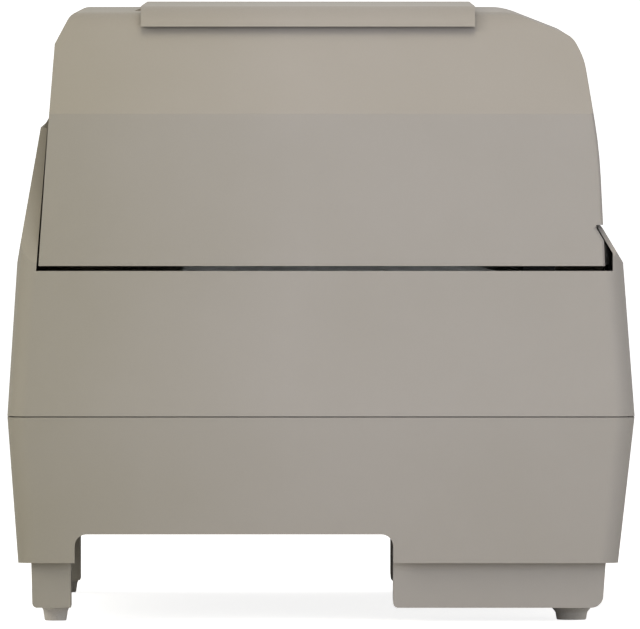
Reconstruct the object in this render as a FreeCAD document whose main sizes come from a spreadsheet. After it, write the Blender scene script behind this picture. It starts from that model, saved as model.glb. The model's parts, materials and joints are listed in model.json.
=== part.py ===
# Wide serial dot matrix printer, in millimetres.
# X points right as seen from the front, Y points to the rear, Z points up.
# The origin lies on the standing surface, under the middle of the casing.
import FreeCAD, Part
import math
import os
import Sketcher

os.makedirs("parts", exist_ok=True)
doc = FreeCAD.newDocument("dot_matrix_printer")

# Driving dimensions: one row each, name and number
SIZES = {
    # Casing
    "case_width": 700, "case_depth": 382, "seam_height": 125.6, "skirt_height": 36,
    "case_draft": 10, "front_draft": 10, "rear_draft": 6.5, "wall": 3, "corner_radius": 12,
    "floor_height": 53.5,
    "side_top_height": 214, "bend_height": 219, "bend_inset": 4, "rear_bend_inset": 6,
    "rear_top_height": 301, "rear_top_inset": 20, "rear_top_half_width": 300,
    "front_bend_inset": 7, "slope_top_height": 240, "slope_top_inset": 19.5,
    "notch_front": 177.6, "notch_rear": 173.4, "notch_rear_top": 166.6,
    "seam_gap": 0.7, "lip_height": 6, "lip_thickness": 1.6, "lip_gap": 0.9, "fit_gap": 0.4, "overrun": 5,
    # Base
    "arch_front": -44, "arch_rear": 150, "arch_radius": 7.3, "foot_height": 8.5,
    "block_outer": 330, "block_width": 95, "block_front": 173.8, "block_taper": 2.3,
    "leg_width": 60, "leg_rear": 177, "leg_front": 152.5,
    "front_foot_radius": 12, "rear_foot_radius": 8.2, "front_foot_place": 153,
    "rear_foot_place": 162, "foot_taper": 1.5,
    "base_rib_thickness": 2.4, "boss_radius": 5, "screw_radius": 2, "screw_head_radius": 4,
    "screw_head_height": 2.4, "screw_length": 72,
    # Top cover
    "cover_bottom": 217, "cover_front": 173, "cover_rear": 172, "cover_front_mid": 169.5,
    "cover_front_mid_height": 288, "cover_brow": 160.6, "cover_brow_height": 343,
    "cover_slope_foot": 153.5, "cover_slope_foot_height": 356.5, "cover_slope_top": 115,
    "cover_top": 371.6, "cover_rear_top": 152, "cover_rear_bend": 162.4,
    "cover_rear_bend_height": 352, "cover_rear_mid": 166, "cover_rear_mid_height": 303,
    "cover_half_width": 345.5, "crease_height": 309.6, "crease_half_width": 341,
    "shoulder_top_half_width": 296, "shoulder_radius": 26,
    "front_bend_radius": 300, "brow_bend_radius": 40, "brow_radius": 14, "slope_radius": 40,
    "rear_corner_radius": 9, "cover_front_edge": 242,
    "cover_rear_edge": 318, "cover_rib_depth": 8, "cover_rib_thickness": 2,
    "window_half_width": 232, "window_low": 262, "window_high": 334, "window_gap": 0.15,
    "hinge_place": 158, "hinge_height": 306, "hinge_lug_inner": 284, "hinge_lug_thickness": 6,
    "hinge_pin_radius": 3, "pin_clearance": 0.08, "lug_radius": 5.4, "lug_gap": 0.6,
    "pin_head_radius": 4.4, "pin_head_thickness": 2,
    # Lid on the cover
    "lid_front": 94, "lid_rear": 110, "lid_rise": 3.4, "lid_seat_gap": 0.3,
    "lid_end_drop": 12.5, "lid_opening_half_width": 268, "lid_opening_front": 76,
    "lid_opening_rear": 92, "lid_axis_place": 119, "lid_axis_drop": 8.1,
    "lid_arm_place": 200, "lid_arm_width": 8, "lid_pin_radius": 2, "lid_lug_radius": 4.6,
    "lid_lug_thickness": 4,
    # Front cover
    "front_cover_half_width": 250, "front_cover_low": 136, "front_cover_gap": 0.8,
    "front_pin_radius": 0.9, "front_pin_length": 5, "grip_half_width": 45, "grip_height": 8,
    "post_rise": 12,
    # Base pan and side frames
    "pan_gap": 0.3, "pan_half_width": 300, "pan_half_depth": 158, "pan_thickness": 1.5,
    "pan_flange": 9, "frame_place": 262, "frame_thickness": 2, "frame_front": 150,
    "frame_rear": 140, "frame_shoulder_height": 120, "frame_top": 258, "frame_top_front": -12,
    "frame_top_rear": 58, "frame_nose_height": 226, "frame_rail_height": 212,
    "frame_foot_width": 12, "hole_clearance": 0.04,
    # Platen and its drive
    "platen_place": 20, "platen_height": 235, "platen_radius": 18.19, "platen_half_width": 212,
    "platen_core_radius": 9, "platen_journal_radius": 5, "bush_radius": 8, "bush_proud": 1.2,
    "gear_gap": 2, "gear_width": 8, "gear_module": 1.5, "tooth_thinning": 0.16,
    "feed_motor_radius": 21, "feed_motor_length": 44, "feed_motor_bearing": 240,
    "feed_shaft_radius": 2.5, "hub_radius": 7, "stud_radius": 4,
    "gear_web": 4, "gear_rim": 4,
    # Front tractors
    "tractor_place": -108, "tractor_height": 172, "tractor_square": 8, "tractor_journal_radius": 3.5,
    "guide_shaft_place": -134, "guide_shaft_radius": 4, "tractor_home": 150,
    "tractor_width": 26, "tractor_wall": 3, "belt_centres": 38.1, "track_radius": 12.127,
    "tractor_low": 156, "sprocket_hub_radius": 7, "square_clearance": 0.12, "ear_length": 4,
    "pin_pitch": 12.7, "belt_thickness": 1.2, "belt_width": 7,
    "pin_radius": 1.9, "pin_height": 2.6, "belt_gap": 0.35, "flap_thickness": 2.2,
    "flap_hinge_radius": 1.6, "flap_slot": 6, "flap_gap": 0.5, "lever_length": 17,
    "lever_thickness": 3,
    # Carriage
    "carriage_shaft_place": -38, "carriage_shaft_height": 205, "carriage_shaft_radius": 8,
    "carriage_clearance": 0.05, "carriage_boss_radius": 11.9, "carriage_half_width": 30,
    "rail_front": -100, "rail_back": -88, "rail_drop": 16,
    "rail_thickness": 2, "rail_flange": 8, "deck_low": 213, "deck_thickness": 4, "shoe_back": -90,
    "shoe_front": -98, "head_half_width": 19, "head_front": 62, "head_back": 14, "head_height": 34,
    "fin_thickness": 1.6, "fin_depth": 5, "nose_half_width": 7, "nose_low": 229, "nose_high": 241,
    "nose_tip": 0.2, "ribbon_near": 0.5, "ribbon_thickness": 0.3,
    # Carriage drive
    "belt_line": -66, "pulley_place": 236, "pulley_radius": 8, "belt_low": 199, "belt_height": 6,
    "drive_belt_thickness": 1.2, "drive_belt_gap": 0.3, "pulley_flange": 1.2,
    "carriage_motor_radius": 24, "carriage_motor_length": 56, "bracket_drop": 9,
    "bracket_thickness": 2, "bracket_reach": 57, "bracket_half_depth": 29, "motor_pin_radius": 2.5,
    # Ribbon
    "cartridge_half_width": 236, "cartridge_front": 160, "cartridge_back": 106,
    "cartridge_low": 216, "cartridge_high": 240, "cartridge_wall": 1.6, "arm_width": 11,
    "arm_tip": 1.4, "arm_drop": 3, "ribbon_low": 228, "ribbon_high": 241, "knob_place": 200,
    "knob_depth": -133, "knob_radius": 10, "knob_height": 7,
    # Paper guides and tear bar
    "guide_half_width": 208, "guide_thickness": 1.2, "tear_bar_width": 14, "tear_bar_thickness": 2,
    # Electronics
    "board_left": -50, "board_right": 240, "board_front": 62, "board_back": 160, "board_height": 66,
    "board_thickness": 1.6, "standoff_radius": 3, "supply_left": -246, "supply_right": -90,
    "supply_front": 60, "supply_back": 150, "supply_top": 112, "supply_wall": 1.2,
    "transformer_width": 76, "transformer_height": 44, "coil_height": 30,
    # Front panel
    "panel_place": 296.5, "panel_width": 74, "panel_low": 142, "panel_high": 206,
    "panel_thickness": 2.4, "panel_gap": 0.25, "panel_flange": 3, "display_width": 54,
    "display_height": 14, "display_place": 18, "button_width": 13, "button_height": 9,
    "button_pitch": 17.5, "button_proud": 2, "button_gap": 0.35,
    "button_place": -14, "button_skirt": 1.2,
    # Switch, inlet and sockets
    "rocker_place": 300, "rocker_height": 92, "rocker_width": 14, "rocker_tall": 22,
    "rocker_frame": 3, "inlet_place": 290,
    "inlet_height": 84, "inlet_width": 28, "inlet_tall": 22, "inlet_depth": 22,
    "parallel_place": 190, "parallel_width": 56, "serial_place": 110,
    "serial_width": 48, "usb_place": 60, "usb_width": 12.5, "socket_tall": 12.5, "socket_depth": 14,
    "blade_width": 2.4, "blade_thickness": 6,
    "chip_size": 26, "chip_height": 3.5, "capacitor_radius": 8, "capacitor_height": 22,
    "rocker_pivot_depth": 7, "rocker_proud": 6.4, "rocker_dip": 5.2, "rocker_near": 3.6,
    "rocker_pin_radius": 1.2, "rocker_room": 1.5, "socket_inset": 1.5, "knob_axle_radius": 3,
    "knob_flute": 0.6, "carriage_wall": 3, "carriage_wall_height": 12, "front_guide_low": 176,
    "front_guide_mid": 182, "front_guide_high": 212, "front_guide_tip": -4, "front_guide_bend": 6,
    "rear_guide_start": 45, "rear_guide_run": 45, "rear_guide_mid": 262, "rear_guide_end": 152,
    "rear_guide_high": 300,
}


def expression_text(value):
    """Give the sheet expression of a size, or the digits of a plain share."""
    return value.text if isinstance(value, Size) else repr(value)


def number(value):
    """Give the plain number of a size or a share."""
    return value.number if isinstance(value, Size) else value


class Size:
    """A length, angle or share that carries its number and the sheet expression behind it."""

    def __init__(self, value, text):
        self.number = value
        self.text = text

    def __add__(self, other):
        return Size(self.number + number(other), f"({self.text} + {expression_text(other)})")

    def __radd__(self, other):
        return Size(number(other) + self.number, f"({expression_text(other)} + {self.text})")

    def __sub__(self, other):
        return Size(self.number - number(other), f"({self.text} - {expression_text(other)})")

    def __rsub__(self, other):
        return Size(number(other) - self.number, f"({expression_text(other)} - {self.text})")

    def __mul__(self, other):
        return Size(self.number * number(other), f"({self.text} * {expression_text(other)})")

    __rmul__ = __mul__

    def __truediv__(self, other):
        return Size(self.number / number(other), f"({self.text} / {expression_text(other)})")

    def __rtruediv__(self, other):
        return Size(number(other) / self.number, f"({expression_text(other)} / {self.text})")

    def __neg__(self):
        return Size(-self.number, f"(-{self.text})")


def function(name, value, size):
    """Write a function of a size both as a number and as sheet text."""
    return Size(value, f"{name}({size.text})")


def sine(angle):
    return function("sin", math.sin(math.radians(angle.number)), angle)


def cosine(angle):
    return function("cos", math.cos(math.radians(angle.number)), angle)


def slant_angle(run, rise):
    """Give the angle in degrees whose tangent is run over rise."""
    ratio = run / rise
    return function("atan", math.degrees(math.atan(ratio.number)), ratio)


def root(size):
    return function("sqrt", math.sqrt(size.number), size)


class Sheet:
    """The spreadsheet of driving dimensions; each one reads as an attribute."""

    def __init__(self, sizes):
        self.cells = doc.addObject("Spreadsheet::Sheet", "Sizes")
        for row, (alias, value) in enumerate(sizes.items(), start=1):
            self.cells.set(f"A{row}", alias)
            self.cells.set(f"B{row}", str(value))
            self.cells.setAlias(f"B{row}", alias)
            setattr(self, alias, Size(value, f"Sizes.{alias}"))
        doc.recompute()


s = Sheet(SIZES)
ZERO = Size(0, "0")
NODES = {}


def bind(item, **places):
    """Tie properties of an object to sheet expressions; x, y and z are its place."""
    for name, value in places.items():
        path = f"Placement.Base.{name}" if name in "xyz" else name
        item.setExpression(path, expression_text(value))
    return item


def ordered(pair):
    """Put the two ends of a range in rising order."""
    return sorted(pair, key=number)


def box(name, x, y, z):
    """A block between two places on each axis."""
    x, y, z = ordered(x), ordered(y), ordered(z)
    item = doc.addObject("Part::Box", name)
    return bind(item, Length=x[1] - x[0], Width=y[1] - y[0], Height=z[1] - z[0],
                x=x[0], y=y[0], z=z[0])


TURNS = {
    "X": FreeCAD.Rotation(FreeCAD.Vector(0, 1, 0), 90),
    "Y": FreeCAD.Rotation(FreeCAD.Vector(1, 0, 0), -90),
    "Z": FreeCAD.Rotation(),
}


def place_on_axis(item, axis, start, centre):
    """Stand an item that is built along Z on another axis, from a start along it."""
    item.Placement = FreeCAD.Placement(FreeCAD.Vector(), TURNS[axis])
    if axis == "X":
        return bind(item, x=start, y=centre[0], z=centre[1])
    if axis == "Y":
        return bind(item, x=centre[0], y=start, z=centre[1])
    return bind(item, x=centre[0], y=centre[1], z=start)


def rod(name, axis, span, centre, radius):
    """A round bar along an axis between two places."""
    low, high = ordered(span)
    item = doc.addObject("Part::Cylinder", name)
    bind(item, Radius=radius, Height=high - low)
    return place_on_axis(item, axis, low, centre)


def faceted_rod(name, axis, span, centre, radius, sides):
    """A small bar with flat sides along an axis between two places."""
    low, high = ordered(span)
    item = doc.addObject("Part::Prism", name)
    item.Polygon = sides
    bind(item, Circumradius=radius, Height=high - low)
    return place_on_axis(item, axis, low, centre)


def cut(name, base, *tools):
    """Take tools away from a base."""
    tool = tools[0] if len(tools) == 1 else fuse(name + "_tools", *tools)
    item = doc.addObject("Part::Cut", name)
    item.Base = base
    item.Tool = tool
    return item


def fuse(name, *shapes):
    """Join shapes into one."""
    item = doc.addObject("Part::MultiFuse", name)
    item.Shapes = list(shapes)
    return item


def common(name, first, second):
    """Keep what two shapes share."""
    item = doc.addObject("Part::MultiCommon", name)
    item.Shapes = [first, second]
    return item


def group(name, *shapes):
    """Keep separate solids together in one node."""
    item = doc.addObject("Part::Compound", name)
    item.Links = list(shapes)
    return item


# Each plane's normal, and the sign that carries a place on that axis to a sketch offset
PLANES = {"YZ": ("YZ_Plane", 1), "XZ": ("XZ_Plane", -1), "XY": ("XY_Plane", 1)}


def sketch_outline(body, name, plane, points, offset):
    """Draw a closed outline whose corners are held by sheet expressions."""
    role = PLANES[plane][0]
    sketch = body.newObject("Sketcher::SketchObject", name)
    origin_plane = [part for part in body.Origin.OriginFeatures if part.Role == role][0]
    sketch.AttachmentSupport = [(origin_plane, "")]
    sketch.MapMode = "FlatFace"
    sketch.setExpression("AttachmentOffset.Base.z", expression_text(offset))
    corners = [FreeCAD.Vector(number(a), number(b), 0) for a, b in points]
    count = len(corners)
    sketch.addGeometry([Part.LineSegment(corners[i], corners[(i + 1) % count])
                        for i in range(count)], False)
    sketch.addConstraint([Sketcher.Constraint("Coincident", i, 2, (i + 1) % count, 1)
                          for i in range(count)])
    for i, (a, b) in enumerate(points):
        for kind, place in (("DistanceX", a), ("DistanceY", b)):
            index = sketch.addConstraint(Sketcher.Constraint(kind, -1, 1, i, 1, float(number(place))))
            sketch.setExpression(f"Constraints[{index}]", expression_text(place))
    return sketch


def edges_at(shape, plane, place, tolerance):
    """Name the edges that run along the plane's normal through a corner of the outline."""
    keep = {"YZ": ("y", "z", "x"), "XZ": ("x", "z", "y"), "XY": ("x", "y", "z")}[plane]
    names = []
    for index, edge in enumerate(shape.Edges, start=1):
        ends = [vertex.Point for vertex in edge.Vertexes]
        if len(ends) != 2 or abs(getattr(ends[0], keep[2]) - getattr(ends[1], keep[2])) < tolerance:
            continue
        if all(abs(getattr(end, axis) - number(value)) < tolerance
               for end in ends for axis, value in zip(keep, place)):
            names.append(f"Edge{index}")
    return names


def prism(name, plane, points, span, rounds=()):
    """A body padded from an outline, with rounded corners given as (corner, radius)."""
    low, high = ordered(span)
    body = doc.addObject("PartDesign::Body", name)
    sign = PLANES[plane][1]
    offset = low if sign == 1 else -high
    sketch = sketch_outline(body, name + "_outline", plane, points, offset)
    pad = body.newObject("PartDesign::Pad", name + "_pad")
    pad.Profile = sketch
    pad.setExpression("Length", expression_text(high - low))
    doc.recompute()
    tip = pad
    for corner, radius in rounds:
        names = edges_at(tip.Shape, plane, points[corner], number(radius) / 1000 + 1e-4)
        fillet = body.newObject("PartDesign::Fillet", f"{name}_round_{corner}")
        fillet.Base = (tip, names)
        fillet.setExpression("Radius", expression_text(radius))
        body.Tip = fillet
        doc.recompute()
        tip = fillet
    return body


def turned(name, axis, start, centre, profile):
    """A body turned about an axis from steps of (distance along it, radius)."""
    body = doc.addObject("PartDesign::Body", name)
    points = [(ZERO, profile[0][0])] + [(r, a) for a, r in profile] + [(ZERO, profile[-1][0])]
    sketch = sketch_outline(body, name + "_outline", "XZ", points, ZERO)
    turn = body.newObject("PartDesign::Revolution", name + "_turn")
    turn.Profile = sketch
    turn.ReferenceAxis = (sketch, ["V_Axis"])
    turn.Angle = 360
    return place_on_axis(body, axis, start, centre)


def keep_node(name, item):
    """Name a finished piece; the name is its file's name too."""
    item.Label = name
    NODES[name] = item
    return item


# Half sizes of the casing, and heights that are held from a neighbour
half_width = s.case_width / 2
half_depth = s.case_depth / 2
tub_height = s.seam_height - s.skirt_height
rail_height = s.deck_low - s.rail_drop
bracket_height = s.belt_low - s.bracket_drop
lid_top = s.cover_top + s.lid_rise
lid_end_height = lid_top - s.lid_end_drop
lid_axis_height = s.cover_top - s.lid_axis_drop


def wall_reach(half, draft, inset, height):
    """How far out a drafted wall of the lower case stands at a height."""
    return half - inset - draft * (s.seam_height - height) / tub_height


def round_upright(name, shape, least, radius):
    """Round the edges of a shape that stand taller than a length."""
    doc.recompute()
    corners = [(index, number(radius), number(radius)) for index,
               edge in enumerate(shape.Shape.Edges, start=1)
               if edge.BoundBox.ZLength > number(least)]
    rounded = doc.addObject("Part::Fillet", name)
    rounded.Base = shape
    rounded.Edges = corners
    return rounded


def drafted_block(name, inset, top, bottom, radius):
    """A block that narrows downwards with the lower case's drafts."""
    side = prism(name + "_side", "YZ", [
        (-wall_reach(half_depth, s.front_draft, inset, bottom), bottom),
        (wall_reach(half_depth, s.rear_draft, inset, bottom), bottom),
        (wall_reach(half_depth, s.rear_draft, inset, top), top),
        (-wall_reach(half_depth, s.front_draft, inset, top), top)], (-s.case_width, s.case_width))
    low_reach = wall_reach(half_width, s.case_draft, inset, bottom)
    high_reach = wall_reach(half_width, s.case_draft, inset, top)
    front = prism(name + "_front", "XZ", [(-low_reach, bottom), (low_reach, bottom), (high_reach, top),
                                          (-high_reach, top)], (-s.case_depth, s.case_depth))
    return round_upright(name + "_rounded", common(name, side, front), (top - bottom) / 2, radius)


def lower_case():
    """Drafted tub with a floor above a skirt, a through arch, front blocks and rear legs."""
    floor_top = s.floor_height + s.wall
    rim = s.seam_height - s.seam_gap
    outer = drafted_block("tub_outer", ZERO, rim, s.skirt_height, s.corner_radius)
    inner = drafted_block("tub_inner", s.wall, s.seam_height + s.overrun, floor_top,
                          s.corner_radius - s.wall)
    under = drafted_block("tub_under", s.wall, s.floor_height, s.skirt_height - s.overrun,
                          s.corner_radius - s.wall)
    front, rear = s.arch_front, s.arch_rear
    low = s.skirt_height - s.overrun
    arch = prism("arch", "YZ", [(front, low), (rear, low), (rear, s.floor_height),
                                (front, s.floor_height)], (-half_width, half_width),
                 rounds=((2, s.arch_radius), (3, s.arch_radius)))
    tub = cut("tub", outer, inner, under, arch)
    lip_base = s.seam_height - s.lip_height
    lip_inner = s.wall + s.lip_gap + s.lip_thickness
    lip_radius = s.corner_radius - lip_inner
    lip_space = drafted_block("lip_space", lip_inner, s.seam_height + s.lip_height,
                              lip_base - s.overrun, lip_radius)
    outside = s.corner_radius - s.wall
    lip_foot = drafted_block("lip_foot", s.wall - s.seam_gap, rim - s.fit_gap, lip_base, outside)
    lip_edge = drafted_block("lip_edge", s.wall + s.lip_gap, s.seam_height + s.lip_height / 2, lip_base,
                             outside)
    lip = cut("lip", fuse("lip_whole", lip_foot, lip_edge), lip_space)
    stands = []
    for side in (-1, 1):
        outer_x = side * s.block_outer
        inner_x = side * (s.block_outer - s.block_width)
        mid_top = s.floor_height + s.wall / 2
        block = prism(f"block_{side}", "YZ",
                      [(-s.block_front + s.block_taper, s.foot_height), (s.arch_front, s.foot_height),
                       (s.arch_front, mid_top), (-s.block_front - s.block_taper / 2, mid_top)],
                      (outer_x, inner_x), rounds=((0, s.arch_radius), (1, s.wall)))
        hollow = box(f"block_hollow_{side}", (outer_x - side * s.wall, inner_x + side * s.wall),
                     (-s.block_front + s.block_taper + s.wall, s.arch_front - s.wall),
                     (s.foot_height + s.wall, s.floor_height - s.wall))
        stands.append(cut(f"block_shell_{side}", block, hollow))
        leg = prism(f"leg_{side}", "YZ",
                    [(s.leg_front, s.foot_height), (s.leg_rear - s.block_taper / 2, s.foot_height),
                     (s.leg_rear, mid_top), (s.leg_front, mid_top)],
                    (outer_x, side * (s.block_outer - s.leg_width)), rounds=((1, s.wall),))
        stands.append(leg)
    posts = [rod(f"post_{i}", "Z", (s.floor_height + s.wall / 2, lip_base), place, s.boss_radius)
             for i, place in enumerate(screw_places())]
    holes = [rod(f"post_hole_{i}", "Z", (s.skirt_height - s.overrun, s.seam_height), place,
                 s.screw_radius + s.fit_gap) for i, place in enumerate(screw_places())]
    sinks = [rod(f"post_sink_{i}", "Z", (ZERO, s.floor_height + s.wall + s.screw_head_height), place,
                 s.screw_head_radius + s.fit_gap) for i, place in enumerate(screw_places())]
    bezel_x = s.rocker_width / 2 + s.rocker_frame
    bezel_z = s.rocker_tall / 2 + s.rocker_room + s.rocker_frame
    bezel = box("rocker_bezel", (s.rocker_place - bezel_x, s.rocker_place + bezel_x),
                (rocker_pivot - s.rocker_proud + s.fit_gap, rocker_pivot + s.rocker_proud),
                (s.rocker_height - bezel_z, s.rocker_height + bezel_z))
    whole = fuse("lower_whole", tub, lip, bezel, *stands, *posts)
    return cut("lower_cut", whole, *holes, *sinks, *case_openings())


rocker_pivot = -half_depth + s.rocker_pivot_depth
ROCKER_SHARE = 0.8
BLADE_SHARE = 0.4


def socket_list():
    """Name, place and width of each data socket."""
    return [("parallel", s.parallel_place, s.parallel_width), ("serial", s.serial_place, s.serial_width),
            ("usb", s.usb_place, s.usb_width)]


def case_openings():
    """Openings of the lower case for the rocker, its pin, the inlet and the data sockets."""
    gap = s.fit_gap
    half_x = s.rocker_width / 2 + gap
    half_z = s.rocker_tall / 2 + s.rocker_room
    through = (-half_depth - s.overrun, -half_depth + s.case_draft + s.wall * 3)
    tools = [box("rocker_opening", (s.rocker_place - half_x, s.rocker_place + half_x), through,
                 (s.rocker_height - half_z, s.rocker_height + half_z)),
             rod("rocker_pin_hole", "X", (s.rocker_place - half_x - s.rocker_frame * ROCKER_SHARE,
                                          s.rocker_place + half_x + s.rocker_frame * ROCKER_SHARE),
                 (rocker_pivot, s.rocker_height), s.rocker_pin_radius + s.pin_clearance)]
    behind = (half_depth - s.case_draft - s.wall * 2, half_depth + s.overrun)
    tools.append(box("inlet_opening",
                     (s.inlet_place - s.inlet_width / 2 - gap, s.inlet_place + s.inlet_width / 2 + gap),
                     behind,
                     (s.inlet_height - s.inlet_tall / 2 - gap, s.inlet_height + s.inlet_tall / 2 + gap)))
    low = s.board_height + s.board_thickness
    for label, place, width in socket_list():
        tools.append(box(f"{label}_opening", (place - width / 2 - gap, place + width / 2 + gap), behind,
                         (low - gap, low + s.socket_tall + gap)))
    return tools


def screw_places():
    """Where the case screws stand, near the four corners."""
    x = half_width - s.case_draft - s.corner_radius - s.boss_radius
    y = half_depth - s.case_draft - s.corner_radius - s.boss_radius
    return [(i * x, j * y) for i in (-1, 1) for j in (-1, 1)]


keep_node("lower_case", lower_case())


# Lean of the front wall of the upper case, and how far its outer face stands in at a height
front_rise = s.bend_height - s.seam_height
front_lean = slant_angle(s.front_bend_inset, front_rise)


def front_face(height):
    """Y of the front wall's outer face at a height."""
    return -half_depth + s.front_bend_inset * (height - s.seam_height) / front_rise


def lean_back(item, x, height):
    """Set an item, drawn with its face on the XZ plane, into the leaning front wall."""
    item.Placement = FreeCAD.Placement(FreeCAD.Vector(), FreeCAD.Rotation(FreeCAD.Vector(-1, 0, 0), 1))
    bind(item, x=x, y=front_face(height), z=height)
    item.setExpression("Placement.Rotation.Angle", front_lean.text)
    return item


def upper_form(name, inset, extra):
    """The upper case's outer skin for inset 0, or the space inside its walls."""
    low = s.seam_height - extra
    slope = (s.slope_top_inset - s.front_bend_inset) / (s.slope_top_height - s.bend_height)
    lean = (s.rear_top_inset - s.rear_bend_inset) / (s.rear_top_height - s.bend_height)
    narrow = (half_width - s.bend_inset - s.rear_top_half_width) / (s.rear_top_height - s.bend_height)
    side = prism(name + "_side", "YZ", [
        (-half_depth + inset - s.front_bend_inset / front_rise * extra, low),
        (half_depth - inset + s.rear_bend_inset / front_rise * extra, low),
        (half_depth - s.rear_bend_inset - inset, s.bend_height),
        (half_depth - s.rear_top_inset - inset - lean * extra, s.rear_top_height + extra),
        (-half_depth + s.slope_top_inset + inset + slope * extra, s.slope_top_height + extra),
        (-half_depth + s.front_bend_inset + inset, s.bend_height)], (-half_width, half_width))
    foot = half_width - inset + s.bend_inset / front_rise * extra
    front = prism(name + "_front", "XZ", [
        (-foot, low), (foot, low), (half_width - s.bend_inset - inset, s.bend_height),
        (s.rear_top_half_width - inset - narrow * extra, s.rear_top_height + extra),
        (-s.rear_top_half_width + inset + narrow * extra, s.rear_top_height + extra),
        (-half_width + s.bend_inset + inset, s.bend_height)], (-half_depth, half_depth))
    both = common(name, side, front)
    doc.recompute()
    radius = number(s.corner_radius - inset)
    corners = []
    for index, edge in enumerate(both.Shape.Edges, start=1):
        bounds = edge.BoundBox
        tall = bounds.ZLength > number(front_rise) / 2
        narrow_edge = max(bounds.XLength, bounds.YLength) < number(half_depth) / 2
        if tall and narrow_edge and bounds.ZMin < number(s.seam_height + s.wall):
            corners.append((index, radius, radius))
    rounded = doc.addObject("Part::Fillet", name + "_rounded")
    rounded.Base = both
    rounded.Edges = corners
    return rounded


upper_shell = cut("upper_shell", upper_form("upper_outer", ZERO, ZERO),
                  upper_form("upper_inner", s.wall, s.overrun * 4))
front_axis_height = s.front_cover_low + s.wall / 2
front_axis = (front_face(front_axis_height) + s.wall / 2, front_axis_height)


def upper_case():
    """Walls above the seam: notch for the cover, front doorway, panel opening, hinge lugs."""
    beyond = s.rear_top_height + s.overrun * 4
    slope = (s.slope_top_inset - s.front_bend_inset) / (s.slope_top_height - s.bend_height)
    slope_back = half_depth - s.slope_top_inset - s.wall
    notch = prism("upper_notch", "YZ", [
        (-s.notch_front, s.side_top_height), (s.notch_rear, s.side_top_height),
        (s.notch_rear_top, s.hinge_height), (s.notch_rear_top, beyond), (-slope_back, beyond),
        (-slope_back, s.slope_top_height),
        (-s.notch_front, s.slope_top_height - (s.notch_front - slope_back) / slope)],
        (-half_width, half_width))
    reach = s.front_cover_half_width + s.front_cover_gap
    doorway = box("front_doorway", (-reach, reach), (-half_depth - s.overrun, -slope_back + s.overrun),
                  (s.front_cover_low - s.front_cover_gap, beyond))
    pin_holes = rod("front_pin_holes", "X", (-reach - s.front_pin_length, reach + s.front_pin_length),
                    front_axis, s.front_pin_radius + s.pin_clearance)
    gap = s.panel_gap
    opening = lean_back(group("panel_opening", box(
        "panel_opening_block", (-s.panel_width / 2 - gap, s.panel_width / 2 + gap),
        (-s.overrun, s.wall * 3), (-gap, s.panel_high - s.panel_low + gap))), s.panel_place, s.panel_low)
    lugs = []
    wall_face = half_depth - s.rear_top_inset - s.wall / 2
    for side in (-1, 1):
        near = side * s.hinge_lug_inner
        far = side * (s.hinge_lug_inner + s.hinge_lug_thickness)
        lugs.append(prism(f"case_lug_{side}", "YZ", [
            (s.hinge_place - s.lug_radius, s.hinge_height - s.lug_radius),
            (s.hinge_place - s.lug_radius, s.hinge_height + s.lug_radius),
            (s.hinge_place + s.lug_radius, s.hinge_height + s.lug_radius),
            (wall_face, s.rear_top_height), (wall_face + s.wall, s.rear_top_height - s.lug_radius * 4)],
            (near, far), rounds=((0, s.wall / 2), (1, s.wall), (2, s.wall))))
    post_low = s.seam_height - s.lip_height + s.pan_gap
    post_high = s.seam_height + s.post_rise
    screw_bores = []
    for i, (x, y) in enumerate(screw_places()):
        side = 1 if number(x) > 0 else -1
        lugs.append(rod(f"upper_post_{i}", "Z", (post_low, post_high), (x, y), s.boss_radius))
        lugs.append(box(f"upper_gusset_{i}", (x, side * (half_width - s.wall / 2 - s.bend_inset / 2)),
                        (y - s.base_rib_thickness / 2, y + s.base_rib_thickness / 2),
                        (s.seam_height + s.lip_height, post_high)))
        screw_bores.append(rod(f"upper_screw_bore_{i}", "Z", (ZERO, post_high - s.wall), (x, y),
                               s.screw_radius + s.hole_clearance))
    whole = fuse("upper_with_lugs", cut("upper_notched", upper_shell, notch), *lugs)
    return cut("upper_cut", whole, doorway, pin_holes, opening,
               *hinge_bores("case", s.hinge_pin_radius + s.hole_clearance), *screw_bores)


def hinge_bores(name, radius):
    """Bores for the cover's hinge pins, through the lugs on each side."""
    return [rod(f"{name}_hinge_bore_{side}", "X",
                (side * (s.hinge_lug_inner - s.hinge_lug_thickness * 2),
                 side * (s.hinge_lug_inner + s.hinge_lug_thickness * 2)),
                (s.hinge_place, s.hinge_height), radius) for side in (-1, 1)]


def front_cover():
    """Door in the front wall, with a rounded foot, pins at its ends and a finger grip."""
    reach = s.front_cover_half_width
    door = common("front_door", upper_shell, box(
        "front_door_block", (-reach, reach), (-half_depth - s.overrun, -half_depth / 2),
        (front_axis_height, s.rear_top_height)))
    foot = rod("front_door_foot", "X", (-reach, reach), front_axis, s.wall / 2)
    pins = rod("front_door_pins", "X", (-reach - s.front_pin_length, reach + s.front_pin_length),
               front_axis, s.front_pin_radius)
    grip_top = s.slope_top_height - s.wall
    ribs = [box(f"front_door_rib_{i}", (i * reach / 2 - s.wall / 2, i * reach / 2 + s.wall / 2),
                (front_face(s.panel_low) + s.wall / 2, front_face(s.panel_low) + s.wall * 3),
                (s.panel_low, s.panel_high)) for i in (-1, 0, 1)]
    grip = box("front_door_grip", (-s.grip_half_width, s.grip_half_width),
               (-half_depth, -half_depth + s.slope_top_inset - s.wall),
               (grip_top - s.grip_height, grip_top - s.grip_height / 2))
    return cut("front_cover_solid", fuse("front_cover_whole", door, foot, pins, *ribs), grip)


keep_node("upper_case", upper_case())
keep_node("front_cover", front_cover())


# Corners of the cover's outlines that are rounded, counted round the outline
FRONT_BEND, BROW_BEND, BROW, SLOPE_TOP, REAR_TOP = range(1, 6)
SHOULDERS = (3, 4)


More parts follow.
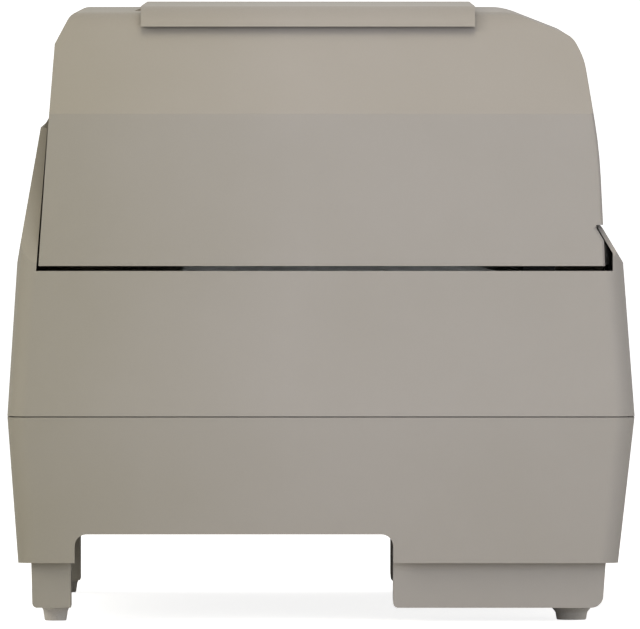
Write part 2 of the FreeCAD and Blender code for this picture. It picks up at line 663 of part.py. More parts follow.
def cover_form(name, inset, drop):
    """The top cover's outer form for inset 0, or the space inside its walls."""
    side = prism(name + "_side", "YZ", [
        (-s.cover_front + inset, s.cover_bottom - drop),
        (-s.cover_front_mid + inset, s.cover_front_mid_height),
        (-s.cover_brow + inset, s.cover_brow_height),
        (-s.cover_slope_foot + inset, s.cover_slope_foot_height - inset / 2),
        (-s.cover_slope_top + inset / 4, s.cover_top - inset),
        (s.cover_rear_top - inset, s.cover_top - inset),
        (s.cover_rear_bend - inset, s.cover_rear_bend_height),
        (s.cover_rear_mid - inset, s.cover_rear_mid_height),
        (s.cover_rear - inset, s.cover_bottom - drop)],
        (-half_width, half_width),
        rounds=((FRONT_BEND, s.front_bend_radius), (BROW_BEND, s.brow_bend_radius), (BROW, s.brow_radius),
                (SLOPE_TOP, s.slope_radius), (REAR_TOP, s.rear_corner_radius - inset)))
    front = prism(name + "_front", "XZ", [
        (-s.cover_half_width + inset, s.cover_bottom - drop),
        (s.cover_half_width - inset, s.cover_bottom - drop),
        (s.crease_half_width - inset, s.crease_height),
        (s.shoulder_top_half_width - inset / 2, s.cover_top - inset),
        (-s.shoulder_top_half_width + inset / 2, s.cover_top - inset),
        (-s.crease_half_width + inset, s.crease_height)],
        (-half_depth, half_depth),
        rounds=[(corner, s.shoulder_radius - inset) for corner in SHOULDERS])
    return common(name, side, front)


cover_shell = cut("cover_shell", cover_form("cover_outer", ZERO, ZERO),
                  cover_form("cover_inner", s.wall, s.overrun))


def window_block(name, gap):
    """The region of the cover's front that the smoke window fills."""
    reach = s.window_half_width - gap
    return box(name, (-reach, reach), (-half_depth, -half_depth / 2),
               (s.window_low + gap, s.window_high - gap))


def top_cover():
    """Hinged hood: long end walls, shoulders, window and lid openings, hinge lugs, ribs."""
    inside = s.crease_half_width - s.wall
    low = s.cover_bottom - s.overrun
    front_low = box("cover_front_low", (-inside, inside), (-half_depth, -s.cover_slope_top),
                    (low, s.cover_front_edge))
    rear_inside = inside - s.cover_rib_depth - s.wall
    rear_low = box("cover_rear_low", (-rear_inside, rear_inside), (s.hinge_place - s.lug_radius, half_depth),
                   (low, s.cover_rear_edge))
    slope_back = half_depth - s.slope_top_inset - s.wall
    slope = (s.slope_top_inset - s.front_bend_inset) / (s.slope_top_height - s.bend_height)
    drop = s.slope_top_height - low
    front_relief = prism("cover_front_relief", "YZ", [
        (-half_depth - s.overrun, low), (-slope_back + s.fit_gap * 2 - slope * drop, low),
        (-slope_back + s.fit_gap * 2, s.slope_top_height),
        (-slope_back + s.fit_gap * 2, s.cover_front_edge), (-half_depth - s.overrun, s.cover_front_edge)],
        (-half_width, half_width))
    lid_hole = box("cover_lid_hole", (-s.lid_opening_half_width, s.lid_opening_half_width),
                   (-s.lid_opening_front, s.lid_opening_rear),
                   (s.cover_top - s.wall * 2, s.cover_top + s.overrun))
    added = []
    removed = [front_low, rear_low, front_relief, lid_hole, window_block("cover_window_hole", ZERO)]
    for side in (-1, 1):
        near = side * (s.hinge_lug_inner - s.lug_gap)
        far = near - side * s.hinge_lug_thickness
        top = s.cover_rear_bend_height - s.wall
        added.append(prism(f"cover_lug_{side}", "YZ", [
            (s.hinge_place - s.lug_radius, s.hinge_height - s.lug_radius),
            (s.hinge_place + s.lug_radius, s.hinge_height - s.lug_radius),
            (s.hinge_place + s.lug_radius, s.cover_rear_edge + s.wall),
            (s.cover_rear_bend - s.wall / 2, top), (s.hinge_place - s.lug_radius * 3, top)],
            (near, far), rounds=((0, s.wall), (1, s.wall))))
        arm = side * s.lid_arm_place
        half_slot = s.lid_arm_width / 2 + s.lug_gap
        removed.append(box(f"lid_arm_slot_{side}", (arm - half_slot, arm + half_slot),
                           (s.lid_rear - s.lid_lug_radius * 2 - s.lug_gap,
                            s.lid_axis_place + s.lid_lug_radius + s.wall * 2),
                           (s.cover_top - s.wall * 2, s.cover_top + s.overrun)))
        for cheek in (-1, 1):
            face = arm + cheek * half_slot
            added.append(box(f"lid_cheek_{side}_{cheek}", (face, face + cheek * s.lid_lug_thickness),
                             (s.lid_axis_place - s.lid_lug_radius, s.lid_axis_place + s.lid_lug_radius),
                             (lid_axis_height - s.lid_lug_radius, s.cover_top - s.wall / 2)))
    bore_reach = s.lid_arm_place + s.lid_arm_width * 2
    pin_bore = rod("lid_pin_bore", "X", (-bore_reach, bore_reach), (s.lid_axis_place, lid_axis_height),
                   s.lid_pin_radius + s.hole_clearance)
    reach = s.lid_opening_half_width + s.cover_rib_depth
    ribs = [box(f"cover_rib_{i}", (-reach, reach), (place, place + s.cover_rib_thickness),
                (s.cover_top - s.wall - s.cover_rib_depth, s.cover_top - s.wall / 2))
            for i, place in enumerate((-s.lid_opening_front - s.cover_rib_depth,
                                       s.lid_opening_rear + s.cover_rib_thickness))]
    shell = cut("cover_open", cover_shell, *removed[:5])
    whole = fuse("cover_whole", shell, *added, *ribs)
    return cut("cover_cut", whole, pin_bore, *hinge_bores("cover", s.hinge_pin_radius + s.pin_clearance),
               *removed[5:])


def cover_window():
    """Curved smoke pane that fills the hole in the cover's front."""
    return common("window_pane", cover_shell, window_block("window_block", s.window_gap))


def top_lid():
    """Raised lid whose ends wrap down over the shoulders, on two hidden hinge arms."""
    seat = s.cover_top + s.lid_seat_gap
    run = (s.crease_half_width - s.shoulder_top_half_width) / (s.cover_top - s.crease_height)
    outer_low = s.shoulder_top_half_width + run * (lid_top - lid_end_height)
    skin = lid_top - seat
    sheet_outline = [
        (-outer_low - skin, lid_end_height), (-s.shoulder_top_half_width - skin, lid_top),
        (s.shoulder_top_half_width + skin, lid_top), (outer_low + skin, lid_end_height),
        (outer_low, lid_end_height), (s.shoulder_top_half_width, seat),
        (-s.shoulder_top_half_width, seat), (-outer_low, lid_end_height)]
    sheet = prism("lid_sheet", "XZ", sheet_outline, (-s.lid_front, s.lid_rear),
                  rounds=((1, s.shoulder_radius), (2, s.shoulder_radius)))
    arms = []
    for side in (-1, 1):
        arm = side * s.lid_arm_place
        radius = s.lid_lug_radius
        arms.append(prism(f"lid_arm_{side}", "YZ", [
            (s.lid_axis_place - radius, lid_axis_height - radius),
            (s.lid_axis_place + radius, lid_axis_height - radius),
            (s.lid_axis_place + radius, lid_axis_height + radius),
            (s.lid_rear, seat + skin / 2), (s.lid_rear - radius * 2, seat + skin / 2)],
            (arm - s.lid_arm_width / 2, arm + s.lid_arm_width / 2),
            rounds=((0, s.wall), (1, s.wall), (2, s.wall / 2))))
    bore = rod("lid_bore", "X", (-half_width, half_width), (s.lid_axis_place, lid_axis_height),
               s.lid_pin_radius + s.pin_clearance)
    return cut("lid_cut", fuse("lid_whole", sheet, *arms), bore)


def hinge_pins():
    """Headed pins of the cover and plain pins of the lid."""
    cover_pins = []
    lid_pins = []
    for side in (-1, 1):
        inner = side * (s.hinge_lug_inner - s.lug_gap - s.hinge_lug_thickness)
        outer = side * (s.hinge_lug_inner + s.hinge_lug_thickness)
        centre = (s.hinge_place, s.hinge_height)
        cover_pins.append(fuse(
            f"cover_pin_{side}",
            rod(f"cover_pin_bar_{side}", "X", (inner, outer), centre, s.hinge_pin_radius),
            rod(f"cover_pin_head_{side}", "X", (outer, outer + side * s.pin_head_thickness), centre,
                s.pin_head_radius)))
        half = s.lid_arm_width / 2 + s.lug_gap + s.lid_lug_thickness
        lid_pins.append(rod(f"lid_pin_{side}", "X",
                            (side * s.lid_arm_place - half, side * s.lid_arm_place + half),
                            (s.lid_axis_place, lid_axis_height), s.lid_pin_radius))
    keep_node("cover_hinge_pins", group("cover_pins", *cover_pins))
    keep_node("lid_hinge_pins", group("lid_pins", *lid_pins))


keep_node("top_cover", top_cover())
keep_node("cover_window", cover_window())
keep_node("top_lid", top_lid())
hinge_pins()


def base_pan():
    """Folded sheet floor with turned-up front and rear edges and board standoffs."""
    low = s.floor_height + s.wall + s.pan_gap
    top = low + s.pan_thickness
    x = (-s.pan_half_width, s.pan_half_width)
    sheet = box("pan_sheet", x, (-s.pan_half_depth, s.pan_half_depth), (low, top))
    edges = [box(f"pan_edge_{side}", x,
                 (side * s.pan_half_depth, side * (s.pan_half_depth - s.pan_thickness)),
                 (low, low + s.pan_flange)) for side in (-1, 1)]
    posts = [rod(f"standoff_{i}", "Z", (low, s.board_height), place, s.standoff_radius)
             for i, place in enumerate(board_corners())]
    return fuse("pan_whole", sheet, *edges, *posts)


def board_corners():
    """Centres of the main board's standoffs."""
    inset = s.standoff_radius * 2
    return [(x, y) for x in (s.board_left + inset, s.board_right - inset)
            for y in (s.board_front + inset, s.board_back - inset)]


pan_top = s.floor_height + s.wall + s.pan_gap + s.pan_thickness
platen_centre = (s.platen_place, s.platen_height)
shaft_centre = (s.carriage_shaft_place, s.carriage_shaft_height)
tractor_centre = (s.tractor_place, s.tractor_height)
guide_centre = (s.guide_shaft_place, s.tractor_height)

# Gear train outside the right frame; tooth counts are whole numbers
PLATEN_TEETH = 48
PINION_TEETH = 12
IDLER_TEETH = 56
TRACTOR_TEETH = 32
PINION_DIRECTION = 300


def meeting_distance(teeth_a, teeth_b):
    return s.gear_module * (teeth_a + teeth_b) / 2


pinion_distance = meeting_distance(PLATEN_TEETH, PINION_TEETH)
PINION_TURN = Size(PINION_DIRECTION, str(PINION_DIRECTION))
pinion_centre = (s.platen_place + pinion_distance * cosine(PINION_TURN),
                 s.platen_height + pinion_distance * sine(PINION_TURN))


def idler_centre_place():
    """Where circles about the platen and the tractor shaft meet, on the lower side."""
    to_platen = meeting_distance(PLATEN_TEETH, IDLER_TEETH)
    to_tractor = meeting_distance(TRACTOR_TEETH, IDLER_TEETH)
    run = s.tractor_place - s.platen_place
    drop = s.tractor_height - s.platen_height
    span = root(run * run + drop * drop)
    along = (to_platen * to_platen - to_tractor * to_tractor + span * span) / (span * 2)
    aside = root(to_platen * to_platen - along * along)
    return (s.platen_place + (run * along - drop * aside) / span,
            s.platen_height + (drop * along + run * aside) / span)


idler_centre = idler_centre_place()
gear_start = s.frame_place + s.frame_thickness + s.gear_gap
# Corners of a side frame's outline that are rounded, counted round the outline
FRAME_CORNERS = (2, 3, 4, 7)


def side_frame(side):
    """Steel side plate with a bent foot, a motor bracket and shaft holes."""
    near = side * s.frame_place
    far = side * (s.frame_place + s.frame_thickness)
    plate = prism(f"frame_plate_{side}", "YZ", [
        (-s.frame_front, pan_top), (s.frame_rear, pan_top), (s.frame_rear, s.frame_shoulder_height),
        (s.frame_top_rear, s.frame_top), (s.frame_top_front, s.frame_top),
        (s.carriage_shaft_place - s.carriage_boss_radius, s.frame_nose_height),
        (s.rail_front - s.frame_foot_width, s.frame_rail_height), (-s.frame_front, s.frame_rail_height)],
        (near, far), rounds=[(corner, s.frame_foot_width) for corner in FRAME_CORNERS])
    foot = box(f"frame_foot_{side}", (near, side * (s.frame_place - s.frame_foot_width)),
               (-s.frame_front, s.frame_rear), (pan_top, pan_top + s.frame_thickness))
    half = s.bracket_half_depth
    bracket = box(f"motor_bracket_{side}", (near, side * (s.frame_place - s.bracket_reach)),
                  (s.belt_line - half, s.belt_line + half),
                  (bracket_height, bracket_height + s.bracket_thickness))
    span = (side * (s.frame_place - s.overrun), far + side * s.overrun)
    clear = s.hole_clearance
    tools = [rod(f"frame_bush_hole_{side}", "X", span, platen_centre, s.bush_radius + clear),
             rod(f"frame_tractor_hole_{side}", "X", span, tractor_centre, s.bush_radius + clear),
             rod(f"frame_shaft_hole_{side}", "X", span, shaft_centre, s.carriage_shaft_radius + clear),
             rod(f"frame_guide_hole_{side}", "X", span, guide_centre, s.guide_shaft_radius + clear)]
    if side == 1:
        tools.append(rod("frame_stud_hole", "X", span, idler_centre, s.stud_radius + clear))
        tools.append(rod("frame_feed_hole", "X", span, pinion_centre, s.bush_radius))
    pulley = (side * s.pulley_place, s.belt_line)
    tools.append(rod(f"bracket_hole_{side}", "Z", (bracket_height - s.overrun, bracket_height + s.overrun),
                     pulley, s.motor_pin_radius + s.pin_clearance))
    return cut(f"frame_cut_{side}", fuse(f"frame_whole_{side}", plate, foot, bracket), *tools)


def bushes():
    """Plain bushes of the platen and tractor shafts in both frames, proud on the inner side."""
    solids = []
    for side in (-1, 1):
        for label, centre, bore in (("platen", platen_centre, s.platen_journal_radius),
                                    ("tractor", tractor_centre, s.tractor_journal_radius)):
            inner = side * (s.frame_place - s.bush_proud)
            outer = side * (s.frame_place + s.frame_thickness)
            sleeve = rod(f"bush_{label}_{side}", "X", (inner, outer), centre, s.bush_radius)
            hole = rod(f"bush_bore_{label}_{side}", "X", (inner - side * s.overrun, outer + side * s.overrun),
                       centre, bore + s.pin_clearance)
            solids.append(cut(f"bush_cut_{label}_{side}", sleeve, hole))
    return group("bush_group", *solids)


keep_node("base_pan", base_pan())
keep_node("left_side_frame", side_frame(-1))
keep_node("right_side_frame", side_frame(1))
keep_node("shaft_bushes", bushes())


def cross_rod(name, centre, radius):
    """A plain rod that ends flush with the outer faces of the side frames."""
    reach = s.frame_place + s.frame_thickness
    return rod(name, "X", (-reach, reach), centre, radius)


def front_rail():
    """Folded rail on which the carriage's front shoe slides."""
    x = (-s.frame_place, s.frame_place)
    top = box("rail_top", x, (s.rail_front, s.rail_back), (rail_height, rail_height + s.rail_thickness))
    web = box("rail_web", x, (s.rail_front, s.rail_front + s.rail_thickness),
              (rail_height - s.rail_flange, rail_height + s.rail_thickness))
    return fuse("rail_whole", top, web)


keep_node("carriage_shaft", cross_rod("carriage_shaft_rod", shaft_centre, s.carriage_shaft_radius))
keep_node("tractor_guide_shaft", cross_rod("guide_shaft_rod", guide_centre, s.guide_shaft_radius))
keep_node("front_rail", front_rail())


def platen():
    """Rubber roller on a steel shaft whose thin journals run in the bushes."""
    x = (-s.platen_half_width, s.platen_half_width)
    roller = cut("roller", rod("roller_body", "X", x, platen_centre, s.platen_radius),
                 rod("roller_bore", "X", (x[0] - s.overrun, x[1] + s.overrun), platen_centre,
                     s.platen_core_radius + s.hole_clearance))
    shoulder = s.frame_place - s.bush_proud - s.fit_gap
    end = gear_start + s.gear_width + s.gear_gap
    left_end = s.frame_place + s.frame_thickness + s.gear_gap
    profile = [(-left_end, s.platen_journal_radius), (-shoulder, s.platen_journal_radius),
               (-shoulder, s.platen_core_radius), (shoulder, s.platen_core_radius),
               (shoulder, s.platen_journal_radius), (end, s.platen_journal_radius)]
    shaft = turned("platen_spindle", "X", ZERO, platen_centre, profile)
    keep_node("platen_roller", roller)
    keep_node("platen_shaft", shaft)


platen()


PRESSURE_ANGLE = 20
ADDENDUM_SHARE = 0.75
DEDENDUM_SHARE = 1.0


def flank_angle(base_radius, radius):
    """Involute angle of a tooth's flank at a radius, inv(a) = tan(a) - a."""
    roll = math.sqrt(max((radius / base_radius) ** 2 - 1, 0))
    return roll - math.atan(roll)


def gear(name, teeth, centre, bore, phase, hub):
    """Involute spur gear about X with a hub; phase is the share of a tooth it is turned by."""
    module = s.gear_module.number
    pitch_radius = module * teeth / 2
    base_radius = pitch_radius * math.cos(math.radians(PRESSURE_ANGLE))
    tip_radius = pitch_radius + module * ADDENDUM_SHARE
    root_radius = pitch_radius - module * DEDENDUM_SHARE
    half_angle = math.pi / (2 * teeth) - s.tooth_thinning.number / pitch_radius
    low_radius = max(base_radius, root_radius)
    flank = [(radius, half_angle + flank_angle(base_radius, pitch_radius) - flank_angle(base_radius, radius))
             for radius in (low_radius, tip_radius)]
    side = [(root_radius, flank[0][1])] * (low_radius > root_radius) + flank
    outline = []
    for tooth in range(teeth):
        middle = 2 * math.pi * (tooth + phase) / teeth
        outline += [(radius, middle - angle) for radius, angle in side]
        outline += [(radius, middle + angle) for radius, angle in reversed(side)]
    y, z = centre[0].number, centre[1].number
    points = [FreeCAD.Vector(0, y + radius * math.cos(angle), z + radius * math.sin(angle))
              for radius, angle in outline]
    wire = Part.makePolygon(points + points[:1])
    blank = Part.Face(wire).extrude(FreeCAD.Vector(s.gear_width.number, 0, 0))
    item = doc.addObject("Part::Feature", name + "_teeth")
    item.Shape = blank
    item.Placement = FreeCAD.Placement(FreeCAD.Vector(gear_start.number, 0, 0), FreeCAD.Rotation())
    end = gear_start + s.gear_width
    shapes = [item]
    if hub:
        shapes.append(rod(name + "_hub", "X", (gear_start, end + s.gear_gap), centre, s.hub_radius))
    tools = [rod(name + "_bore", "X", (gear_start - s.overrun, end + s.overrun), centre, bore)]
    rim = s.gear_module * (teeth / 2 - DEDENDUM_SHARE) - s.gear_rim
    if teeth > PINION_TEETH:
        recess = cut(name + "_recess",
                     rod(name + "_recess_out", "X", (gear_start + s.gear_web, end + s.overrun),
                                           centre, rim),
                     rod(name + "_recess_in", "X", (gear_start, end + s.overrun * 2), centre, s.hub_radius))
        tools.append(recess)
    return cut(name + "_cut", fuse(name + "_blank", *shapes) if hub else item, *tools)


def mesh_phase(teeth, centre, other_teeth, other_centre, other_phase):
    """Phase of a gear that puts a gap where the other gear has its tooth on the line of centres."""
    run = centre[0].number - other_centre[0].number
    rise = centre[1].number - other_centre[1].number
    direction = math.atan2(rise, run)
    other_share = (direction / (2 * math.pi) * other_teeth - other_phase) % 1
    own_direction = direction + math.pi
    return (own_direction / (2 * math.pi) * teeth + other_share + 0.5) % 1


def gear_train():
    """Platen gear, feed pinion on its motor shaft, idler on a stud and tractor gear."""
    idler_phase = mesh_phase(IDLER_TEETH, idler_centre, PLATEN_TEETH, platen_centre, 0)
    pinion_phase = mesh_phase(PINION_TEETH, pinion_centre, PLATEN_TEETH, platen_centre, 0)
    tractor_phase = mesh_phase(TRACTOR_TEETH, tractor_centre, IDLER_TEETH, idler_centre, idler_phase)
    clear = s.hole_clearance
    keep_node("platen_gear", gear("platen_gear", PLATEN_TEETH, platen_centre,
                                  s.platen_journal_radius + clear, 0, True))
    pinion = gear("pinion", PINION_TEETH, pinion_centre, s.feed_shaft_radius / 2, pinion_phase, False)
    axle = rod("pinion_axle", "X", (s.feed_motor_bearing, gear_start + s.gear_width), pinion_centre,
               s.feed_shaft_radius)
    keep_node("feed_pinion", fuse("feed_pinion_whole", pinion, axle))
    keep_node("idler_gear", gear("idler", IDLER_TEETH, idler_centre, s.stud_radius + s.pin_clearance,
                                 idler_phase, True))
    keep_node("tractor_gear", gear("tractor_wheel", TRACTOR_TEETH, tractor_centre,
                                   s.tractor_journal_radius + clear, tractor_phase, True))
    end = gear_start + s.gear_width + s.gear_gap
    stud = fuse("stud_whole", rod("stud_bar", "X", (s.frame_place, end + s.gear_gap), idler_centre,
                                  s.stud_radius),
                rod("stud_head", "X", (end + s.fit_gap, end + s.gear_gap), idler_centre, s.hub_radius))
    keep_node("idler_stud", stud)
    face = s.frame_place
    length = s.feed_motor_length
    can = rod("feed_motor_can", "X", (face - length, face), pinion_centre, s.feed_motor_radius)
    boss = rod("feed_motor_boss", "X", (face, face + s.frame_thickness / 2), pinion_centre,
               s.bush_radius - s.fit_gap)
    hole = rod("feed_motor_hole", "X", (s.feed_motor_bearing - s.fit_gap, face + s.overrun), pinion_centre,
               s.feed_shaft_radius + s.pin_clearance)
    keep_node("feed_motor", cut("feed_motor_cut", fuse("feed_motor_whole", can, boss), hole))


gear_train()


def tractor_shaft():
    """Square bar with round journals in the bushes, long on the gear's side."""
    shoulder = s.frame_place - s.bush_proud - s.fit_gap
    half = s.tractor_square / 2
    bar = box("tractor_bar", (-shoulder, shoulder), (s.tractor_place - half, s.tractor_place + half),
              (s.tractor_height - half, s.tractor_height + half))
    end = gear_start + s.gear_width + s.gear_gap
    journal = rod("tractor_journal", "X", (-s.frame_place - s.frame_thickness - s.gear_gap, end),
                  tractor_centre,
                  s.tractor_journal_radius)
    return fuse("tractor_shaft_whole", bar, journal)


keep_node("tractor_shaft", tractor_shaft())


def stadium(name, axis, span, ends, radius):
    """A bar with rounded ends about two centres that lie along Y (axis X) or along X (axis Z)."""
    first, second = ends
    rods = [rod(f"{name}_end_{i}", axis, span, centre, radius) for i, centre in enumerate(ends)]
    if axis == "X":
        middle = box(name + "_middle", span, (first[0], second[0]), (first[1] - radius, first[1] + radius))
    else:
        middle = box(name + "_middle", (first[0], second[0]), (first[1] - radius, first[1] + radius), span)
    return fuse(name, middle, *rods)


def loop_belt(name, axis, span, ends, inner_radius, thickness):
    """A belt loop round two centres."""
    low, high = span
    return cut(name, stadium(name + "_outside", axis, span, ends, inner_radius + thickness),
               stadium(name + "_inside", axis, (low - s.overrun, high + s.overrun), ends, inner_radius))


PIN_SIDES = 8
SPROCKET_PINS = 6


def belt_pins(name, home, ends):
    """Paper pins at one pitch round the loop: on the two runs and round both ends."""
    top = s.track_radius + s.belt_thickness / 2
    pins = []
    front, rear = ends[1][0], ends[0][0]
    runs = round(number(s.belt_centres / s.pin_pitch))
    for i in range(runs):
        place = front + s.pin_pitch * (i + 0.5)
        for up in (-1, 1):
            pins.append(faceted_rod(f"{name}_pin_{i}_{up}", "Z",
                                    (s.tractor_height + up * (top - s.belt_thickness / 2),
                                     s.tractor_height + up * (top + s.pin_height)),
                                    (home, place), s.pin_radius, PIN_SIDES))
    for centre, way in ((front, -1), (rear, 1)):
        pins.append(faceted_rod(f"{name}_end_pin_{way}", "Y",
                                (centre + way * (top - s.belt_thickness / 2),
                                 centre + way * (top + s.pin_height)),
                                (home, s.tractor_height), s.pin_radius, PIN_SIDES))
    return pins


def tractor(side, label):
    """One pin-feed tractor: frame, pin belt, sprocket, paper flap and lock lever."""
    home = side * s.tractor_home
    inner = home - side * (s.belt_width / 2 + s.belt_gap + s.tractor_wall)
    outer = home + side * s.tractor_width / 2
    reach = s.track_radius + s.belt_thickness / 2
    rear, front = s.tractor_place, s.tractor_place - s.belt_centres
    ends = [(rear, s.tractor_height), (front, s.tractor_height)]
    top = s.tractor_height + reach - s.belt_gap
    belt_x = ordered((home - s.belt_width / 2, home + s.belt_width / 2))
    cheeks = []
    for i, span in enumerate(((inner, home - side * (s.belt_width / 2 + s.belt_gap)),
                              (home + side * (s.belt_width / 2 + s.belt_gap), outer))):
        cheeks.append(prism(f"{label}_cheek_{i}", "YZ", [
            (front - reach, s.tractor_low), (rear + reach / 2, s.tractor_low),
            (rear + reach, s.tractor_height),
            (rear + reach / 2, top), (front - reach / 2, top), (front - reach, s.tractor_height)],
            span, rounds=((0, s.tractor_wall), (1, s.tractor_wall))))
    core_radius = s.track_radius - s.belt_thickness / 2 - s.belt_gap
    core = stadium(f"{label}_core", "X", ordered((inner, outer)),
                   [(rear - s.tractor_square, s.tractor_height), (front, s.tractor_height)], core_radius)
    cheeks.append(cut(f"{label}_core_cut", core, rod(f"{label}_core_relief", "X",
                      ordered((belt_x[0] - s.belt_gap, belt_x[1] + s.belt_gap)), ends[0],
                      core_radius + s.flap_gap)))
    axis_x = outer - side * s.flap_hinge_radius
    axis_z = top + s.belt_gap + s.flap_gap + s.flap_hinge_radius
    flap_y = (front - reach / 2, rear + s.overrun)
    for i, (a,
            b) in enumerate(((flap_y[0], flap_y[0] + s.ear_length), (flap_y[1] - s.ear_length, flap_y[1]))):
        cheeks.append(box(f"{label}_ear_{i}", (outer, outer - side * s.flap_hinge_radius * 2), (a, b),
                          (top - s.tractor_wall, axis_z + s.flap_hinge_radius)))
    low_x, high_x = ordered((inner - side * s.overrun, outer + side * s.overrun))
    bore = rod(f"{label}_shaft_bore", "X", (low_x, high_x), tractor_centre,
               s.sprocket_hub_radius + s.pin_clearance)
    guide_bore = rod(f"{label}_guide_bore", "X", (low_x, high_x), guide_centre,
                     s.guide_shaft_radius + s.pin_clearance)
    ear_bore = rod(f"{label}_ear_bore", "Y", (flap_y[0] - s.overrun, flap_y[1] + s.overrun), (axis_x, axis_z),
                   s.flap_hinge_radius / 2 + s.pin_clearance)
    lever_x = outer + side * (s.fit_gap + s.lever_thickness)
    frame = cut(f"{label}_frame_cut", fuse(f"{label}_frame_whole", *cheeks), bore, guide_bore, ear_bore)
    keep_node(f"{label}_tractor_frame", frame)
    belt = loop_belt(f"{label}_belt_loop", "X", belt_x, ends, s.track_radius - s.belt_thickness / 2,
                     s.belt_thickness)
    keep_node(f"{label}_pin_belt", fuse(f"{label}_belt_whole", belt, *belt_pins(label, home, ends)))
    wheel = rod(f"{label}_wheel", "X", belt_x, tractor_centre, core_radius)
    hub = rod(f"{label}_hub", "X", (inner, outer), tractor_centre, s.sprocket_hub_radius)
    half = s.tractor_square / 2 + s.square_clearance
    square = box(f"{label}_square", (low_x, high_x), (rear - half, rear + half),
                 (s.tractor_height - half, s.tractor_height + half))
    notches = []
    for i in range(SPROCKET_PINS):
        notch = faceted_rod(f"{label}_notch_{i}", "X", (belt_x[0] - s.belt_gap, belt_x[1] + s.belt_gap),
                            ends[0], s.pin_radius, PIN_SIDES)
        turn = Size(360 * (i + 0.5) / SPROCKET_PINS, str(360 * (i + 0.5) / SPROCKET_PINS))
        bind(notch, y=rear + core_radius * cosine(turn), z=s.tractor_height + core_radius * sine(turn))
        notches.append(notch)
    keep_node(f"{label}_sprocket", cut(f"{label}_sprocket_cut", fuse(f"{label}_sprocket_whole", wheel, hub),
                                       square, *notches))
    plate_z = (axis_z - s.flap_hinge_radius, axis_z - s.flap_hinge_radius + s.flap_thickness)
    knuckle_y = (flap_y[0] + s.ear_length + s.fit_gap, flap_y[1] - s.ear_length - s.fit_gap)
    plate = box(f"{label}_flap_plate", (inner, axis_x), flap_y_inside(flap_y), plate_z)
    knuckle = rod(f"{label}_flap_knuckle", "Y", knuckle_y, (axis_x, axis_z), s.flap_hinge_radius)
    pin = rod(f"{label}_flap_pin", "Y", flap_y, (axis_x, axis_z), s.flap_hinge_radius / 2)
    slot = box(f"{label}_flap_slot", (home - s.flap_slot / 2, home + s.flap_slot / 2),
               (flap_y[0] - s.overrun, knuckle_y[1] - s.tractor_wall),
               (plate_z[0] - s.overrun, plate_z[1] + s.overrun))
    keep_node(f"{label}_flap",
              fuse(f"{label}_flap_whole", cut(f"{label}_flap_slotted", plate, slot), knuckle, pin))
    lever_y = guide_centre
    ring = rod(f"{label}_lever_ring", "X", (outer + side * s.fit_gap, lever_x), lever_y,
               s.guide_shaft_radius + s.tractor_wall)
    handle = box(f"{label}_lever_handle", (outer + side * s.fit_gap, lever_x),
                 (guide_centre[0] - s.lever_thickness / 2, guide_centre[0] + s.lever_thickness / 2),
                 (guide_centre[1] + s.guide_shaft_radius + s.hole_clearance * 2,
                  guide_centre[1] + s.guide_shaft_radius + s.lever_length))
    hole = rod(f"{label}_lever_bore", "X", (low_x - s.overrun, high_x + s.overrun), lever_y,
               s.guide_shaft_radius + s.pin_clearance)
    keep_node(f"{label}_lock_lever",
              cut(f"{label}_lever_cut", fuse(f"{label}_lever_whole", ring, handle), hole))


def flap_y_inside(flap_y):
    """The flap's plate lies between the ears."""
    return (flap_y[0] + s.ear_length + s.fit_gap, flap_y[1] - s.ear_length - s.fit_gap)


tractor(-1, "left")
tractor(1, "right")


def carriage():
    """Casting on the shaft: boss, deck, shoe on the rail and a clamp round one belt run."""
    half = s.carriage_half_width
    x = (-half, half)
    boss = rod("carriage_boss", "X", x, shaft_centre, s.carriage_boss_radius)
    deck_top = s.deck_low + s.deck_thickness
    deck = box("carriage_deck", x, (s.shoe_front, s.carriage_shaft_place + s.carriage_boss_radius),
               (s.deck_low, deck_top))
    shoe = box("carriage_shoe", x, (s.shoe_front, s.shoe_back),
               (rail_height + s.rail_thickness + s.drive_belt_gap, deck_top))
    run = s.belt_line - s.pulley_radius - s.drive_belt_gap - s.drive_belt_thickness / 2
    grip = s.drive_belt_thickness / 2 + s.drive_belt_gap
    clamps = [box(f"carriage_clamp_{way}", (-half / 2, half / 2),
                  (run + way * grip, run + way * (grip + s.lever_thickness)),
                  (s.belt_low, s.deck_low + s.fit_gap)) for way in (-1, 1)]
    walls = [box(f"carriage_wall_{way}", (way * half, way * (half - s.carriage_wall)),
                 (-s.head_front - s.carriage_wall, -s.head_back),
                 (deck_top - s.fit_gap, deck_top + s.carriage_wall_height)) for way in (-1, 1)]
    bore = rod("carriage_bore", "X", (-half - s.overrun, half + s.overrun), shaft_centre,
               s.carriage_shaft_radius + s.carriage_clearance)
    return cut("carriage_cut", fuse("carriage_whole", boss, deck, shoe, *clamps, *walls), bore)


HEAD_FINS = 9


def print_head():
    """Finned head with a tapered nose that stops short of the ribbon."""
    half = s.head_half_width
    low = s.deck_low + s.deck_thickness
    high = low + s.head_height
    core = box("head_core", (-half + s.fin_depth, half - s.fin_depth), (-s.head_front, -s.head_back),
               (low, high))
    pitch = (s.head_front - s.head_back - s.fin_thickness) / (HEAD_FINS - 1)
    fins = [box(f"head_fin_{i}", (-half, half),
                (-s.head_front + pitch * i, -s.head_front + pitch * i + s.fin_thickness),
                (low + s.fin_thickness, high + s.fin_depth / 2)) for i in range(HEAD_FINS)]
    nose = prism("head_nose", "YZ", [
        (-s.head_back - s.fit_gap, low + s.fin_depth), (-s.head_back + s.fin_depth, s.nose_low),
        (s.nose_tip, s.nose_low), (s.nose_tip, s.nose_high), (-s.head_back + s.fin_depth, s.nose_high),
        (-s.head_back - s.fit_gap, high)], (-s.nose_half_width, s.nose_half_width))
    return fuse("head_whole", core, nose, *fins)


keep_node("carriage", carriage())
keep_node("print_head", print_head())


